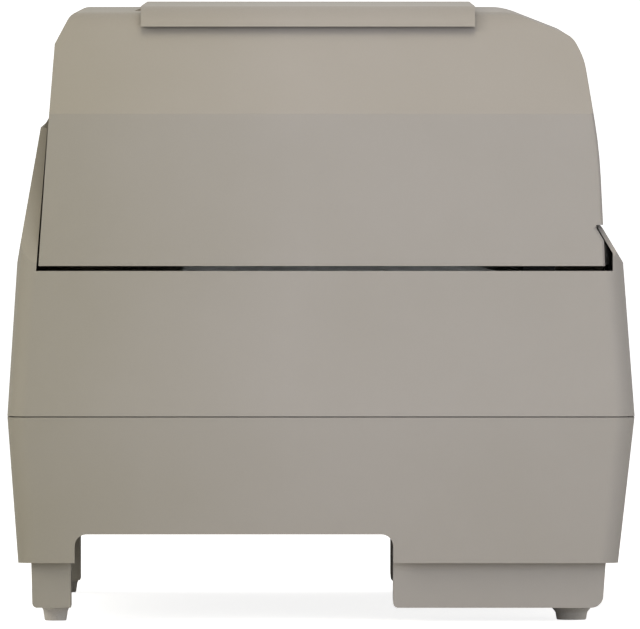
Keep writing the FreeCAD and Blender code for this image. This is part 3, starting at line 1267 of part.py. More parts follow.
def carriage_drive():
    """Toothed belt, flanged pulleys on the brackets and the carriage motor under the left one."""
    inner = s.pulley_radius + s.drive_belt_gap
    ends = [(-s.pulley_place, s.belt_line), (s.pulley_place, s.belt_line)]
    keep_node("drive_belt", loop_belt("drive_belt_loop", "Z", (s.belt_low, s.belt_low + s.belt_height), ends,
                                      inner, s.drive_belt_thickness))
    rim = inner + s.drive_belt_thickness + s.drive_belt_gap
    seat = bracket_height + s.bracket_thickness + s.pan_gap
    gap = s.drive_belt_gap
    for label, centre, low in (("motor", ends[0], bracket_height - s.overrun * 2),
                               ("idler", ends[1], bracket_height)):
        belt_top = s.belt_low + s.belt_height
        profile = [(low, s.motor_pin_radius), (seat, s.motor_pin_radius), (seat, s.pulley_radius),
                   (s.belt_low - gap - s.pulley_flange, s.pulley_radius),
                   (s.belt_low - gap - s.pulley_flange, rim), (s.belt_low - gap, rim),
                   (s.belt_low - gap, s.pulley_radius), (belt_top + gap, s.pulley_radius),
                   (belt_top + gap, rim), (belt_top + gap + s.pulley_flange, rim)]
        keep_node(f"{label}_pulley", turned(f"{label}_pulley_body", "Z", ZERO, centre, profile))
    top = bracket_height
    can = rod("carriage_motor_can", "Z", (top - s.carriage_motor_length, top), ends[0],
              s.carriage_motor_radius)
    hole = rod("carriage_motor_hole", "Z", (top - s.overrun * 2 - s.fit_gap, top + s.overrun), ends[0],
               s.motor_pin_radius + s.pin_clearance)
    lip = rod("carriage_motor_cap", "Z", (top - s.carriage_motor_length - s.bracket_thickness,
                                          top - s.carriage_motor_length), ends[0],
              s.carriage_motor_radius - s.bracket_thickness)
    keep_node("carriage_motor", cut("carriage_motor_cut", fuse("carriage_motor_whole", can, lip), hole))


carriage_drive()


def ribbon_cartridge():
    """Wide hollow cartridge with arms that hold the ribbon in front of the platen, on frame ears."""
    half = s.cartridge_half_width
    body = prism("cartridge_body", "YZ", [
        (-s.cartridge_front, s.cartridge_low + s.arm_drop),
        (-s.cartridge_front + s.arm_drop, s.cartridge_low),
        (-s.cartridge_back, s.cartridge_low), (-s.cartridge_back, s.cartridge_high),
        (-s.cartridge_front + s.arm_drop, s.cartridge_high),
        (-s.cartridge_front, s.cartridge_high - s.arm_drop)],
        (-half, half))
    hollow = box("cartridge_hollow", (-half + s.cartridge_wall, half - s.cartridge_wall),
                 (-s.cartridge_front + s.arm_drop + s.cartridge_wall, -s.cartridge_back - s.cartridge_wall),
                 (s.cartridge_low + s.cartridge_wall, s.cartridge_high - s.cartridge_wall))
    parts = []
    for side in (-1, 1):
        parts.append(prism(f"cartridge_arm_{side}", "YZ", [
            (-s.cartridge_back - s.cartridge_wall, s.cartridge_low + s.arm_drop),
            (-s.arm_width * 3, s.ribbon_low - s.arm_drop), (s.arm_tip, s.ribbon_low - s.arm_drop),
            (s.arm_tip, s.ribbon_high), (-s.cartridge_back - s.cartridge_wall, s.cartridge_high)],
            (side * half, side * (half - s.arm_width)),
            rounds=((2, s.cartridge_wall), (3, s.cartridge_wall))))
        ear_low = s.frame_rail_height + s.pan_gap
        ear_x = (side * (half - s.cartridge_wall), side * (s.frame_place + s.frame_thickness * 3))
        parts.append(box(f"cartridge_ear_{side}", ear_x,
                         (s.knob_depth - s.knob_radius, s.knob_depth + s.knob_radius),
                         (ear_low, s.cartridge_low + s.arm_drop * 2)))
    collar = rod("cartridge_axle_hole", "Z",
                 (s.cartridge_high - s.cartridge_wall * 3, s.cartridge_high + s.overrun),
                 (s.knob_place, s.knob_depth), s.knob_axle_radius + s.pin_clearance)
    boss = rod("cartridge_axle_boss", "Z",
               (s.cartridge_high - s.cartridge_wall * 3, s.cartridge_high - s.fit_gap),
               (s.knob_place, s.knob_depth), s.knob_axle_radius * 2)
    hollowed = cut("cartridge_shell", body, hollow)
    return cut("cartridge_cut", fuse("cartridge_whole", hollowed, boss, *parts), collar)


def ribbon():
    """Inked band strung between the cartridge's arms."""
    reach = s.cartridge_half_width - s.arm_width - s.drive_belt_gap
    return box("ribbon_band", (-reach, reach), (s.ribbon_near, s.ribbon_near + s.ribbon_thickness),
               (s.ribbon_low, s.ribbon_high))


KNOB_FLUTES = 12


def ribbon_knob():
    """Fluted winding knob on the cartridge with its axle."""
    centre = (s.knob_place, s.knob_depth)
    low = s.cartridge_high + s.drive_belt_gap
    disc = rod("knob_disc", "Z", (low, low + s.knob_height), centre, s.knob_radius)
    axle = rod("knob_axle", "Z", (s.cartridge_high - s.cartridge_wall * 2, low + s.knob_height / 2), centre,
               s.knob_axle_radius)
    flutes = []
    for i in range(KNOB_FLUTES):
        turn = Size(360 * i / KNOB_FLUTES, str(360 * i / KNOB_FLUTES))
        flutes.append(faceted_rod(f"knob_flute_{i}", "Z", (low - s.overrun, low + s.knob_height + s.overrun),
                                  (s.knob_place + (s.knob_radius + s.knob_flute) * cosine(turn),
                                   s.knob_depth + (s.knob_radius + s.knob_flute) * sine(turn)),
                                  s.knob_flute * 2, PIN_SIDES))
    return fuse("knob_whole", cut("knob_fluted", disc, *flutes), axle)


keep_node("ribbon_cartridge", ribbon_cartridge())
keep_node("ribbon", ribbon())
keep_node("ribbon_knob", ribbon_knob())


def bent_plate(name, path, x):
    """A sheet bent along a path of (Y, Z) points, its thickness measured upwards."""
    low = [(y, z) for y, z in path]
    high = [(y, z + s.guide_thickness) for y, z in reversed(path)]
    return prism(name, "YZ", low + high, x)


def paper_guides():
    """Guides that lead paper from the tractors up to the platen and from the platen to the exit."""
    x = (-s.guide_half_width, s.guide_half_width)
    plate = bent_plate("front_guide_plate", [
        (s.rail_back, s.front_guide_low), (s.carriage_shaft_place + s.front_guide_bend, s.front_guide_mid),
        (s.front_guide_tip - s.front_guide_bend / 2, s.front_guide_high - s.front_guide_bend * 2),
        (s.front_guide_tip, s.front_guide_high)], x)
    tab_y = (s.front_guide_tip - s.front_guide_bend * 2, s.front_guide_tip - s.front_guide_bend)
    tab_z = (s.front_guide_mid + s.front_guide_bend * 3 / 2, s.front_guide_mid + s.front_guide_bend * 5 / 2)
    tab = box("front_guide_tab", (-s.frame_place, s.frame_place), tab_y, tab_z)
    keep_node("front_paper_guide", fuse("front_guide_whole", plate, tab))
    rear = bent_plate("rear_guide_plate", [
        (s.rear_guide_start, s.platen_height), (s.rear_guide_start + s.rear_guide_run, s.rear_guide_mid),
        (s.rear_guide_end, s.rear_guide_high)], x)
    rear_tab = box("rear_guide_tab", (-s.frame_place, s.frame_place),
                   (s.rear_guide_start + s.guide_thickness, s.rear_guide_start + s.tear_bar_width / 2),
                   (s.platen_height, s.platen_height + s.tear_bar_width / 2))
    keep_node("rear_paper_guide", fuse("rear_guide_whole", rear, rear_tab))
    reach = s.frame_place + s.frame_thickness
    bar_y = (s.frame_top_rear - s.tear_bar_width, s.frame_top_rear)
    bar = prism("tear_bar_plate", "YZ", [
        (bar_y[0], s.frame_top), (bar_y[1], s.frame_top), (bar_y[1], s.frame_top + s.tear_bar_thickness),
        (bar_y[0] + s.tear_bar_thickness * 2, s.frame_top + s.tear_bar_thickness),
        (bar_y[0], s.frame_top + s.tear_bar_thickness / 4)], (-reach, reach))
    keep_node("tear_bar", bar)


paper_guides()


CHIP_SHARES = [(0.1, 0.3), (0.3, 0.3), (0.5, 0.35), (0.72, 0.3)]
CAPACITOR_SHARES = [0.12, 0.2, 0.42, 0.9]


def main_board():
    """Circuit board on its standoffs with chips, capacitors and connector blocks."""
    low = s.board_height
    top = low + s.board_thickness
    board = box("board_sheet", (s.board_left, s.board_right), (s.board_front, s.board_back), (low, top))
    sink = top - s.board_thickness / 4
    chips = []
    width = s.board_right - s.board_left
    for i, (share, depth_share) in enumerate(CHIP_SHARES):
        x = s.board_left + width * share
        y = s.board_front + (s.board_back - s.board_front) * depth_share
        chips.append(box(f"chip_{i}", (x, x + s.chip_size), (y, y + s.chip_size),
                         (sink, top + s.chip_height)))
    cans = []
    for i, share in enumerate(CAPACITOR_SHARES):
        centre = (s.board_left + width * share, s.board_front + s.capacitor_radius * 2)
        cans.append(rod(f"capacitor_{i}", "Z", (sink, top + s.capacitor_height), centre, s.capacitor_radius))
    return fuse("board_whole", board, *chips, *cans)


COIL_SHARE = 1.4
TRANSFORMER_SHARE = 0.75
SUPPLY_FINS = 7
SUPPLY_FIN_SHARE = 0.9


def power_supply():
    """Open folded tray with a transformer and a cooling comb."""
    x = (s.supply_left, s.supply_right)
    y = (s.supply_front, s.supply_back)
    low = pan_top
    tray = cut("supply_tray", box("supply_outer", x, y, (low, s.supply_top)),
               box("supply_inner", (x[0] + s.supply_wall, x[1] - s.supply_wall),
                   (y[0] + s.supply_wall, y[1] - s.supply_wall),
                   (low + s.supply_wall, s.supply_top + s.overrun)))
    centre_x = s.supply_left + s.transformer_width * TRANSFORMER_SHARE
    middle_y = (s.supply_front + s.supply_back) / 2
    half = s.transformer_height / 2
    base = low + s.supply_wall / 2
    core = box("transformer_core", (centre_x - s.transformer_width / 2, centre_x + s.transformer_width / 2),
               (middle_y - half, middle_y + half), (base, base + s.transformer_height))
    coil = box("transformer_coil", (centre_x - s.transformer_width / 4, centre_x + s.transformer_width / 4),
               (middle_y - half * COIL_SHARE, middle_y + half * COIL_SHARE),
               (base + s.supply_wall * 4, base + s.coil_height))
    fins = []
    for i in range(SUPPLY_FINS):
        x = s.supply_right - s.coil_height - s.capacitor_radius * i * SUPPLY_FIN_SHARE
        fins.append(box(f"supply_fin_{i}", (x, x + s.fin_thickness), (middle_y - half, middle_y + half),
                        (base, base + s.coil_height)))
    return fuse("supply_whole", tray, core, coil, *fins)


keep_node("main_board", main_board())
keep_node("power_supply", power_supply())


BUTTONS = 4
BUTTON_NAMES = ["pause_button", "line_feed_button", "form_feed_button", "tear_off_button"]


def control_panel():
    """Flush panel clipped in from behind, with a display pane and four push buttons."""
    height = s.panel_high - s.panel_low
    half = s.panel_width / 2
    face = box("panel_face", (-half, half), (ZERO, s.wall + s.panel_gap * 2), (ZERO, height))
    back = box("panel_back", (-half - s.panel_flange, half + s.panel_flange),
               (s.wall + s.panel_gap, s.wall + s.panel_gap + s.panel_thickness),
               (-s.panel_flange, height + s.panel_flange))
    hollow = box("panel_hollow", (-half + s.panel_thickness, half - s.panel_thickness),
                 (s.panel_thickness, s.wall * 3), (s.panel_thickness, height - s.panel_thickness))
    pane_x = (-s.display_width / 2, s.display_width / 2)
    pane_z = (height / 2 + s.display_place - s.display_height, height / 2 + s.display_place)
    pane_hole = box("display_hole", pane_x, (-s.overrun, s.wall), pane_z)
    gap = s.window_gap
    pane = box("display_pane", (pane_x[0] + gap, pane_x[1] - gap), (gap * 2, s.panel_thickness),
               (pane_z[0] + gap, pane_z[1] - gap))
    holes = []
    for i in range(BUTTONS):
        x = s.button_pitch * (i - (BUTTONS - 1) / 2)
        z = height / 2 + s.button_place
        half_x, half_z = s.button_width / 2, s.button_height / 2
        gap = s.button_gap
        holes.append(box(f"button_hole_{i}", (x - half_x - gap, x + half_x + gap), (-s.overrun, s.wall),
                         (z - half_z - gap, z + half_z + gap)))
        cap = box(f"button_cap_{i}", (x - half_x, x + half_x), (-s.button_proud, s.panel_thickness + gap * 2),
                  (z - half_z, z + half_z))
        skirt = box(f"button_skirt_{i}", (x - half_x - s.button_skirt, x + half_x + s.button_skirt),
                    (s.panel_thickness + gap, s.panel_thickness + gap + s.button_skirt),
                    (z - half_z - s.button_skirt, z + half_z + s.button_skirt))
        keep_node(BUTTON_NAMES[i],
                  lean_back(fuse(f"button_whole_{i}", cap, skirt), s.panel_place, s.panel_low))
    panel = cut("panel_cut", fuse("panel_whole", face, back), hollow, pane_hole, *holes)
    keep_node("control_panel", lean_back(panel, s.panel_place, s.panel_low))
    keep_node("display_window", lean_back(group("display_group", pane), s.panel_place, s.panel_low))


control_panel()


def power_rocker():
    """Two-way rocker on a pivot pin across the bezel of the lower case."""
    half = s.rocker_tall / 2
    z = s.rocker_height
    y = rocker_pivot
    body = prism("rocker_body", "YZ", [
        (y - s.rocker_proud, z - half), (y - s.rocker_dip, z), (y - s.rocker_near, z + half),
        (y + s.rocker_near, z + half * ROCKER_SHARE), (y + s.rocker_proud, z),
        (y + s.rocker_near, z - half * ROCKER_SHARE)],
        (s.rocker_place - s.rocker_width / 2, s.rocker_place + s.rocker_width / 2))
    reach = s.rocker_width / 2 + s.rocker_frame * ROCKER_SHARE
    pin = rod("rocker_pin", "X", (s.rocker_place - reach, s.rocker_place + reach), (y, z),
              s.rocker_pin_radius)
    return fuse("rocker_whole", body, pin)


keep_node("power_rocker", power_rocker())


def rear_sockets():
    """Power inlet with three blades, and the data sockets on the board's edge."""
    outer = half_depth - s.socket_inset
    x, z = s.inlet_place, s.inlet_height
    half_x, half_z = s.inlet_width / 2, s.inlet_tall / 2
    rim = s.rocker_frame
    body = box("inlet_body", (x - half_x, x + half_x), (outer - s.inlet_depth, outer),
               (z - half_z, z + half_z))
    flange = box("inlet_flange", (x - half_x - rim, x + half_x + rim), (outer, outer + s.blade_width / 2),
                 (z - half_z - rim, z + half_z + rim))
    cavity = box("inlet_cavity", (x - half_x + rim, x + half_x - rim),
                 (outer - s.inlet_depth + rim, outer + s.overrun),
                 (z - half_z + rim, z + half_z - rim))
    blades = [box(f"inlet_blade_{i}", (x + i * half_x * BLADE_SHARE - s.blade_width / 2,
                                       x + i * half_x * BLADE_SHARE + s.blade_width / 2),
                  (outer - s.inlet_depth + rim / 2, outer - rim),
                  (z - s.blade_thickness / 2 + rim * (i == 0), z + s.blade_thickness / 2 + rim * (i == 0)))
              for i in (-1, 0, 1)]
    keep_node("power_inlet",
              fuse("inlet_whole", cut("inlet_shell", fuse("inlet_outer", body, flange), cavity),
                                  *blades))
    low = s.board_height + s.board_thickness
    solids = []
    for label, place, width in socket_list():
        shell = box(f"{label}_shell", (place - width / 2, place + width / 2),
                    (outer - s.socket_depth * 2, outer),
                    (low, low + s.socket_tall))
        rim = s.blade_width
        hole = box(f"{label}_mouth", (place - width / 2 + rim, place + width / 2 - rim),
                   (outer - s.socket_depth, outer + s.overrun), (low + rim, low + s.socket_tall - rim))
        tongue = box(f"{label}_tongue", (place - width / 2 + rim * 2, place + width / 2 - rim * 2),
                     (outer - s.socket_depth - rim, outer - rim),
                     (low + s.socket_tall / 2 - rim / 2, low + s.socket_tall / 2 + rim / 2))
        solids.append(fuse(f"{label}_socket", cut(f"{label}_open", shell, hole), tongue))
    keep_node("interface_sockets", group("socket_group", *solids))


rear_sockets()


def feet_and_screws():
    """Rubber feet under the blocks and legs, and the long case screws."""
    front = []
    rear = []
    for side in (-1, 1):
        block_x = side * (s.block_outer - s.block_width / 2)
        leg_x = side * (s.block_outer - s.leg_width / 2)
        for label, x, y, radius, feet in (("front", block_x, -s.front_foot_place, s.front_foot_radius, front),
                                          ("rear", leg_x, s.rear_foot_place, s.rear_foot_radius, rear)):
            profile = [(ZERO, radius - s.foot_taper * 2), (s.foot_height / 2, radius - s.foot_taper * 3 / 2),
                       (s.foot_height, radius)]
            feet.append(turned(f"{label}_foot_{side}", "Z", ZERO, (x, y), profile))
    keep_node("front_feet", group("front_feet_group", *front))
    keep_node("rear_feet", group("rear_feet_group", *rear))
    seat = s.floor_height + s.wall + s.screw_head_height
    screws = []
    for i, centre in enumerate(screw_places()):
        profile = [(seat - s.screw_head_height, s.screw_head_radius), (seat, s.screw_head_radius),
                   (seat, s.screw_radius), (seat + s.screw_length, s.screw_radius)]
        screws.append(turned(f"case_screw_{i}", "Z", ZERO, centre, profile))
    keep_node("case_screws", group("case_screw_group", *screws))


feet_and_screws()


def write_parts():
    """Check every object of the document, then write each node to its own file."""
    doc.recompute()
    for item in doc.Objects:
        if "Invalid" in item.State or "Error" in item.State:
            raise RuntimeError(f"{item.Name} failed: {item.State}")
    for name, item in NODES.items():
        if item.Shape.isNull() or not item.Shape.isValid() or item.Shape.Volume <= 0:
            raise RuntimeError(f"{name} has no valid solid")
    for name, item in NODES.items():
        item.Shape.exportStep(f"parts/{name}.step")
        bounds = item.Shape.BoundBox
        print(f"{name}: {len(item.Shape.Solids)} solid(s), {item.Shape.Volume:.0f} mm3,",
              f"z {bounds.ZMin:.1f} to {bounds.ZMax:.1f}")


write_parts()
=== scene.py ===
# %% [markdown]
# # A wide dot matrix printer
# The printer is an office machine with a hinged cover, and the reference shows it square on from its
# left end, on white. The construction comes in ready made: every casing, shaft, gear and button is
# already where it belongs, and it moves with the body that carries it. What is left for this lesson is
# what the eye meets: the light, the finish of each surface, and the small forms that a moulding tool,
# a press or a loom leaves behind.

# %% Load the construction
import json
import math
import bpy
import numpy as np
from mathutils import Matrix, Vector


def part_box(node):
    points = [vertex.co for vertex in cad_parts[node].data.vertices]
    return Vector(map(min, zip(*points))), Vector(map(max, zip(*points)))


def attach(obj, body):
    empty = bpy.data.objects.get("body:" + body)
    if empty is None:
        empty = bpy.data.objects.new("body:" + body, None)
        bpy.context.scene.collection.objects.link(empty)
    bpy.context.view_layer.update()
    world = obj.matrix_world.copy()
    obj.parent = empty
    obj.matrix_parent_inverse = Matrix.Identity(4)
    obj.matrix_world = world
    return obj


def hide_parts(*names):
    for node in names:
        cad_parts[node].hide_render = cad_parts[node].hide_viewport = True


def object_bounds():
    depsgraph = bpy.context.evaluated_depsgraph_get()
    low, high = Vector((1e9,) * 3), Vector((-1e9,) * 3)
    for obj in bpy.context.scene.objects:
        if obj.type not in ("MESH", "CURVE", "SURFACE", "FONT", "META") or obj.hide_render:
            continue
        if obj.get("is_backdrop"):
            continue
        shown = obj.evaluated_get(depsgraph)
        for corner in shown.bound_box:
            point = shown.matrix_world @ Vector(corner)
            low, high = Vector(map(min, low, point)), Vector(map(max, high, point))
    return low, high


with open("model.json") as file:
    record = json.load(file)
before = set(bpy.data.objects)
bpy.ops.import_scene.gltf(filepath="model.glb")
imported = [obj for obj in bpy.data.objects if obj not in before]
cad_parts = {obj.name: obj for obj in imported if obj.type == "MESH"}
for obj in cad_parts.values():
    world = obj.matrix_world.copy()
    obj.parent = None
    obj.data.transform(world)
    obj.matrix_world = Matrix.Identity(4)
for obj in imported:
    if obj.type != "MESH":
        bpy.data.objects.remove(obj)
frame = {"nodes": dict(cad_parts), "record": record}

cad_bounds = [list(corner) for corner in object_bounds()]
MM = 0.001
print("the construction spans", [[round(v, 4) for v in corner] for corner in cad_bounds])

# %% [markdown]
# ## The camera
# The two ends of the reference's outline show no convergence that can be measured, so the camera stands
# far away with a long lens. One picture element is 0.61 mm on the printer's near end, which fixes the lens
# once the distance is chosen. The camera looks along +X from a degree above the middle of the printer.

# %% Place the camera
PICTURE_WIDTH = 640
MM_PER_PIXEL = 0.6083
SENSOR = 36.0
CAMERA_DISTANCE = 15.0
CAMERA_ELEVATION = math.radians(1.0)
VIEW_CENTRE = Vector((cad_bounds[0][0], 0.0006, 0.1876))

camera_data = bpy.data.cameras.new("side_camera")
camera_data.sensor_width = SENSOR
camera_data.lens = SENSOR * CAMERA_DISTANCE / (PICTURE_WIDTH * MM_PER_PIXEL * MM)
camera_data.clip_end = CAMERA_DISTANCE * 10
camera = bpy.data.objects.new("side_camera", camera_data)
bpy.context.scene.collection.objects.link(camera)
away = Vector((-math.cos(CAMERA_ELEVATION), 0, math.sin(CAMERA_ELEVATION)))
camera.location = VIEW_CENTRE + away * CAMERA_DISTANCE
camera.rotation_mode = "QUATERNION"
camera.rotation_quaternion = (-away).to_track_quat("-Z", "Y")
bpy.context.scene.camera = camera
bpy.context.scene.view_settings.view_transform = "Standard"
print("lens", round(camera_data.lens), "mm at", CAMERA_DISTANCE, "m")

# %% [markdown]
# ## Colour and nodes
# Colours are read off swatches as sRGB hex values, but light adds up in linear values, so one function
# turns the first into the second. A material is a small graph, and one function adds a node to it: its
# settings are plain attributes, and each input is either a value or the output of an earlier node.

# %% Two helpers for every finish
def linear(swatch):
    """Linear red, green, blue and alpha of an sRGB hex colour.

    Each channel c, from 0 to 1, becomes c / 12.92 up to 0.04045 and ((c + 0.055) / 1.055) ** 2.4 above.
    """
    c = np.array([int(swatch[i:i + 2], 16) for i in (1, 3, 5)]) / 255
    c = np.where(c <= 0.04045, c / 12.92, ((c + 0.055) / 1.055) ** 2.4)
    return (*c.tolist(), 1.0)


def add(tree, kind, inputs=None, **settings):
    """Add a node of a kind; inputs maps a socket's name or number to a value or another node's output."""
    made = tree.nodes.new(kind)
    for name, value in settings.items():
        setattr(made, name, value)
    for name, value in (inputs or {}).items():
        if isinstance(value, bpy.types.NodeSocket):
            tree.links.new(value, made.inputs[name])
        else:
            made.inputs[name].default_value = value
    return made


def begin(name):
    """Start a material and give back it, its tree and its Principled shader."""
    material = bpy.data.materials.new(name)
    material.use_nodes = True
    tree = material.node_tree
    return material, tree, tree.nodes["Principled BSDF"]


def place(tree, size_mm, stretch=(1, 1, 1)):
    """Object coordinates on which one unit is size_mm long, stretched per axis."""
    coordinates = add(tree, "ShaderNodeTexCoord").outputs["Object"]
    scale = [f / (size_mm * MM) for f in stretch]
    return add(tree, "ShaderNodeMapping", {"Vector": coordinates, "Scale": scale}).outputs["Vector"]


def blend_colours(tree, factor, first, second):
    """Mix two hex colours by a factor between 0 and 1."""
    mix = add(tree, "ShaderNodeMix", {6: linear(first), 7: linear(second)}, data_type="RGBA")
    tree.links.new(factor, mix.inputs["Factor"])
    return mix.outputs[2]


def rescale(tree, value, low, high, to_low, to_high):
    """Map a range of a pattern onto another range, held at its ends."""
    inputs = {"Value": value, "From Min": low, "From Max": high, "To Min": to_low, "To Max": to_high}
    return add(tree, "ShaderNodeMapRange", inputs).outputs["Result"]


print("helpers ready; case grey is", [round(v, 3) for v in linear("#a19c99")])

# %% [markdown]
# ## Light and floor
# A tent of soft light hides the lamps: the sky is an even grey-white for the surfaces that it lights and a
# clean white for whatever sees it directly, in a reflection or through the window. In the reference the
# flat end walls are a little brighter towards the front and the sloping shoulders above them are warmer,
# so the key lamp stands to the camera's right and a warm one hangs overhead. One to the camera's left lights
# the rear half, and two weaker ones fill the front and the back. The floor is matt white and keeps the
# printer's own shadow.

# %% Make the sky, the lamps and the floor
SKY_LEVEL = 0.345
world = bpy.data.worlds.new("light_tent")
bpy.context.scene.world = world
world.use_nodes = True
sky = world.node_tree
sky.nodes.clear()
seen = add(sky, "ShaderNodeLightPath").outputs
glance = add(sky, "ShaderNodeMath", {0: seen["Is Camera Ray"], 1: seen["Is Glossy Ray"]},
             operation="MAXIMUM").outputs[0]
through = add(sky, "ShaderNodeMath", {0: glance, 1: seen["Is Transmission Ray"]},
              operation="MAXIMUM").outputs[0]
level = rescale(sky, through, 0.0, 1.0, SKY_LEVEL, 1.0)
glow = add(sky, "ShaderNodeBackground", {"Color": linear("#ffffff"), "Strength": level})
add(sky, "ShaderNodeOutputWorld", {"Surface": glow.outputs[0]})


def soft_lamp(name, location, target, size, watts, swatch):
    """A square area lamp that faces a target."""
    data = bpy.data.lights.new(name, "AREA")
    data.shape, data.size, data.energy = "SQUARE", size, watts
    data.color = linear(swatch)[:3]
    lamp = bpy.data.objects.new(name, data)
    lamp.location = location
    lamp.rotation_mode = "QUATERNION"
    lamp.rotation_quaternion = (Vector(target) - Vector(location)).to_track_quat("-Z", "Y")
    bpy.context.scene.collection.objects.link(lamp)


MIDDLE = (0, 0, 0.19)
soft_lamp("key_lamp", (-2.1, -0.6, 0.35), MIDDLE, 1.3, 15, "#f6f9ff")
soft_lamp("top_lamp", (-0.7, 0.0, 2.0), MIDDLE, 1.4, 10.3, "#fff1cc")
soft_lamp("rear_side_lamp", (-1.3, 1.7, 1.2), MIDDLE, 1.2, 16, "#fff8e6")
soft_lamp("front_lamp", (1.3, -1.9, 1.6), MIDDLE, 1.6, 2, "#fffcf8")
soft_lamp("rear_lamp", (1.2, 2.1, 1.4), MIDDLE, 1.6, 8, "#f8fbff")

FLOOR_REACH = 120.0
floor_mesh = bpy.data.meshes.new("floor")
corners = FLOOR_REACH * np.array([[-1, -1, 0], [1, -1, 0], [1, 1, 0], [-1, 1, 0]], float)
floor_mesh.from_pydata(corners.tolist(), [], [[0, 1, 2, 3]])
floor = bpy.data.objects.new("floor", floor_mesh)
bpy.context.scene.collection.objects.link(floor)
material, tree, shader = begin("matt_white_paper")
shader.inputs["Base Color"].default_value = linear("#f2f2f0")
shader.inputs["Roughness"].default_value = 0.9
shader.inputs["Specular IOR Level"].default_value = 0.1
CAMERA_LIFT = 0.86  # how much the floor glows for the camera alone, so that it meets the white sky
camera_ray = add(tree, "ShaderNodeLightPath").outputs["Is Camera Ray"]
shader.inputs["Emission Color"].default_value = linear("#ffffff")
lift = rescale(tree, camera_ray, 0.0, 1.0, 0.0, CAMERA_LIFT)
tree.links.new(lift, shader.inputs["Emission Strength"])
floor_mesh.materials.append(material)
floor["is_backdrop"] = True

# %% [markdown]
# ## Finishes
# Each finish starts from what the part is made of and how its surface came about. The casing is ABS from
# a spark-eroded mould: a fine even grain, and after some years in an office a slight uneven yellowing.
# Towards its rear the casing is also painted darker and yellower: a painted shade.
# A pattern's scale is always a real size in millimetres. Grains that are too fine to show at this size
# are drawn a little coarser, as a comment says where that happens.

# %% Moulded plastics
# painted shade towards the rear of the casing: where it starts and where it is full
REAR_SHADE_FROM, REAR_SHADE_TO = 0.02, 0.19  # along Y in metres, from the middle to the rear wall


def moulded(name, swatch, aged_and_shaded, grain_mm, roughness, grain_depth=0.03, mottle_mm=70, rear=0.0):
    """Thermoplastic from an eroded mould: faint cloudy yellowing with age over the colour and a fine grain in
    the skin.

    With rear above 0 a painted shade also grows over the last part of the depth, towards the rear, in the
    same darker, yellower colour.
    """
    material, tree, shader = begin(name)
    clouds = add(tree, "ShaderNodeTexNoise", {"Vector": place(tree, mottle_mm), "Scale": 1.0, "Detail": 3.0})
    ageing_and_rear_shade = rescale(tree, clouds.outputs["Fac"], 0.3, 0.7, 0.0, 1.0)
    if rear:
        coordinates = add(tree, "ShaderNodeTexCoord").outputs["Object"]
        depth = add(tree, "ShaderNodeSeparateXYZ", {"Vector": coordinates}).outputs["Y"]
        # painted shade: the colour turns darker and yellower over the last part of the depth, towards the
        # rear wall
        painted_rear_shade = rescale(tree, depth, REAR_SHADE_FROM, REAR_SHADE_TO, 0.0, rear)
        faint = add(tree, "ShaderNodeMath", {0: ageing_and_rear_shade, 1: 0.15}, operation="MULTIPLY").outputs[0]
        ageing_and_rear_shade = add(tree, "ShaderNodeMath", {0: faint, 1: painted_rear_shade}, operation="ADD",
                     use_clamp=True).outputs[0]
    base = blend_colours(tree, ageing_and_rear_shade, swatch, aged_and_shaded)
    tree.links.new(base, shader.inputs["Base Color"])
    grain = add(tree, "ShaderNodeTexNoise", {"Vector": place(tree, grain_mm), "Scale": 1.0, "Detail": 2.0})
    dull = rescale(tree, grain.outputs["Fac"], 0.3, 0.7, roughness - 0.05, roughness + 0.07)
    tree.links.new(dull, shader.inputs["Roughness"])
    bump = add(tree, "ShaderNodeBump", {"Height": grain.outputs["Fac"], "Strength": 0.35,
                                        "Distance": grain_depth * MM})
    tree.links.new(bump.outputs["Normal"], shader.inputs["Normal"])
    shader.inputs["IOR"].default_value = 1.54
    return material


CASE_GRAIN = 1.3  # the real grain is about 0.2 mm, too fine to show
# its last argument paints shade over the rear of the casing, darker and yellower towards the rear wall
case_abs = moulded("textured_case_abs", "#a19c99", "#8d887b", CASE_GRAIN, 0.58, 0.05, 90, 0.85)
panel_abs = moulded("panel_abs", "#8e8a82", "#8a867d", CASE_GRAIN, 0.5, 0.04)
button_abs = moulded("button_abs", "#c9c5bb", "#c4c0b5", 0.9, 0.42, 0.02, 20)
black_abs = moulded("black_abs", "#232323", "#282726", 0.9, 0.42, 0.04, 30)
rocker_abs = moulded("rocker_abs", "#2a2928", "#2e2d2b", 0.8, 0.35, 0.02, 20)
white_acetal = moulded("white_acetal", "#dcd9cd", "#d5d1c2", 0.8, 0.33, 0.015, 25)
lever_acetal = moulded("lever_acetal", "#5f7f9d", "#5a7994", 0.8, 0.35, 0.015, 20)
print("plastics:", [m.name for m in bpy.data.materials if "abs" in m.name or "acetal" in m.name])

# %% Metals
def rolled_steel(name, swatch, dull_swatch, roughness, spangle_mm):
    """Zinc-plated sheet: crystals of slightly different dullness, and the faint lines of the rolls."""
    material, tree, shader = begin(name)
    crystals = add(tree, "ShaderNodeTexVoronoi", {"Vector": place(tree, spangle_mm), "Scale": 1.0})
    tone = rescale(tree, crystals.outputs["Distance"], 0.0, 0.8, 0.0, 1.0)
    tree.links.new(blend_colours(tree, tone, swatch, dull_swatch), shader.inputs["Base Color"])
    lines = add(tree, "ShaderNodeTexNoise", {"Vector": place(tree, 1.5, (0.02, 1, 1)), "Scale": 1.0})
    rough = rescale(tree, lines.outputs["Fac"], 0.3, 0.7, roughness - 0.06, roughness + 0.08)
    tree.links.new(rough, shader.inputs["Roughness"])
    shader.inputs["Metallic"].default_value = 1.0
    return material


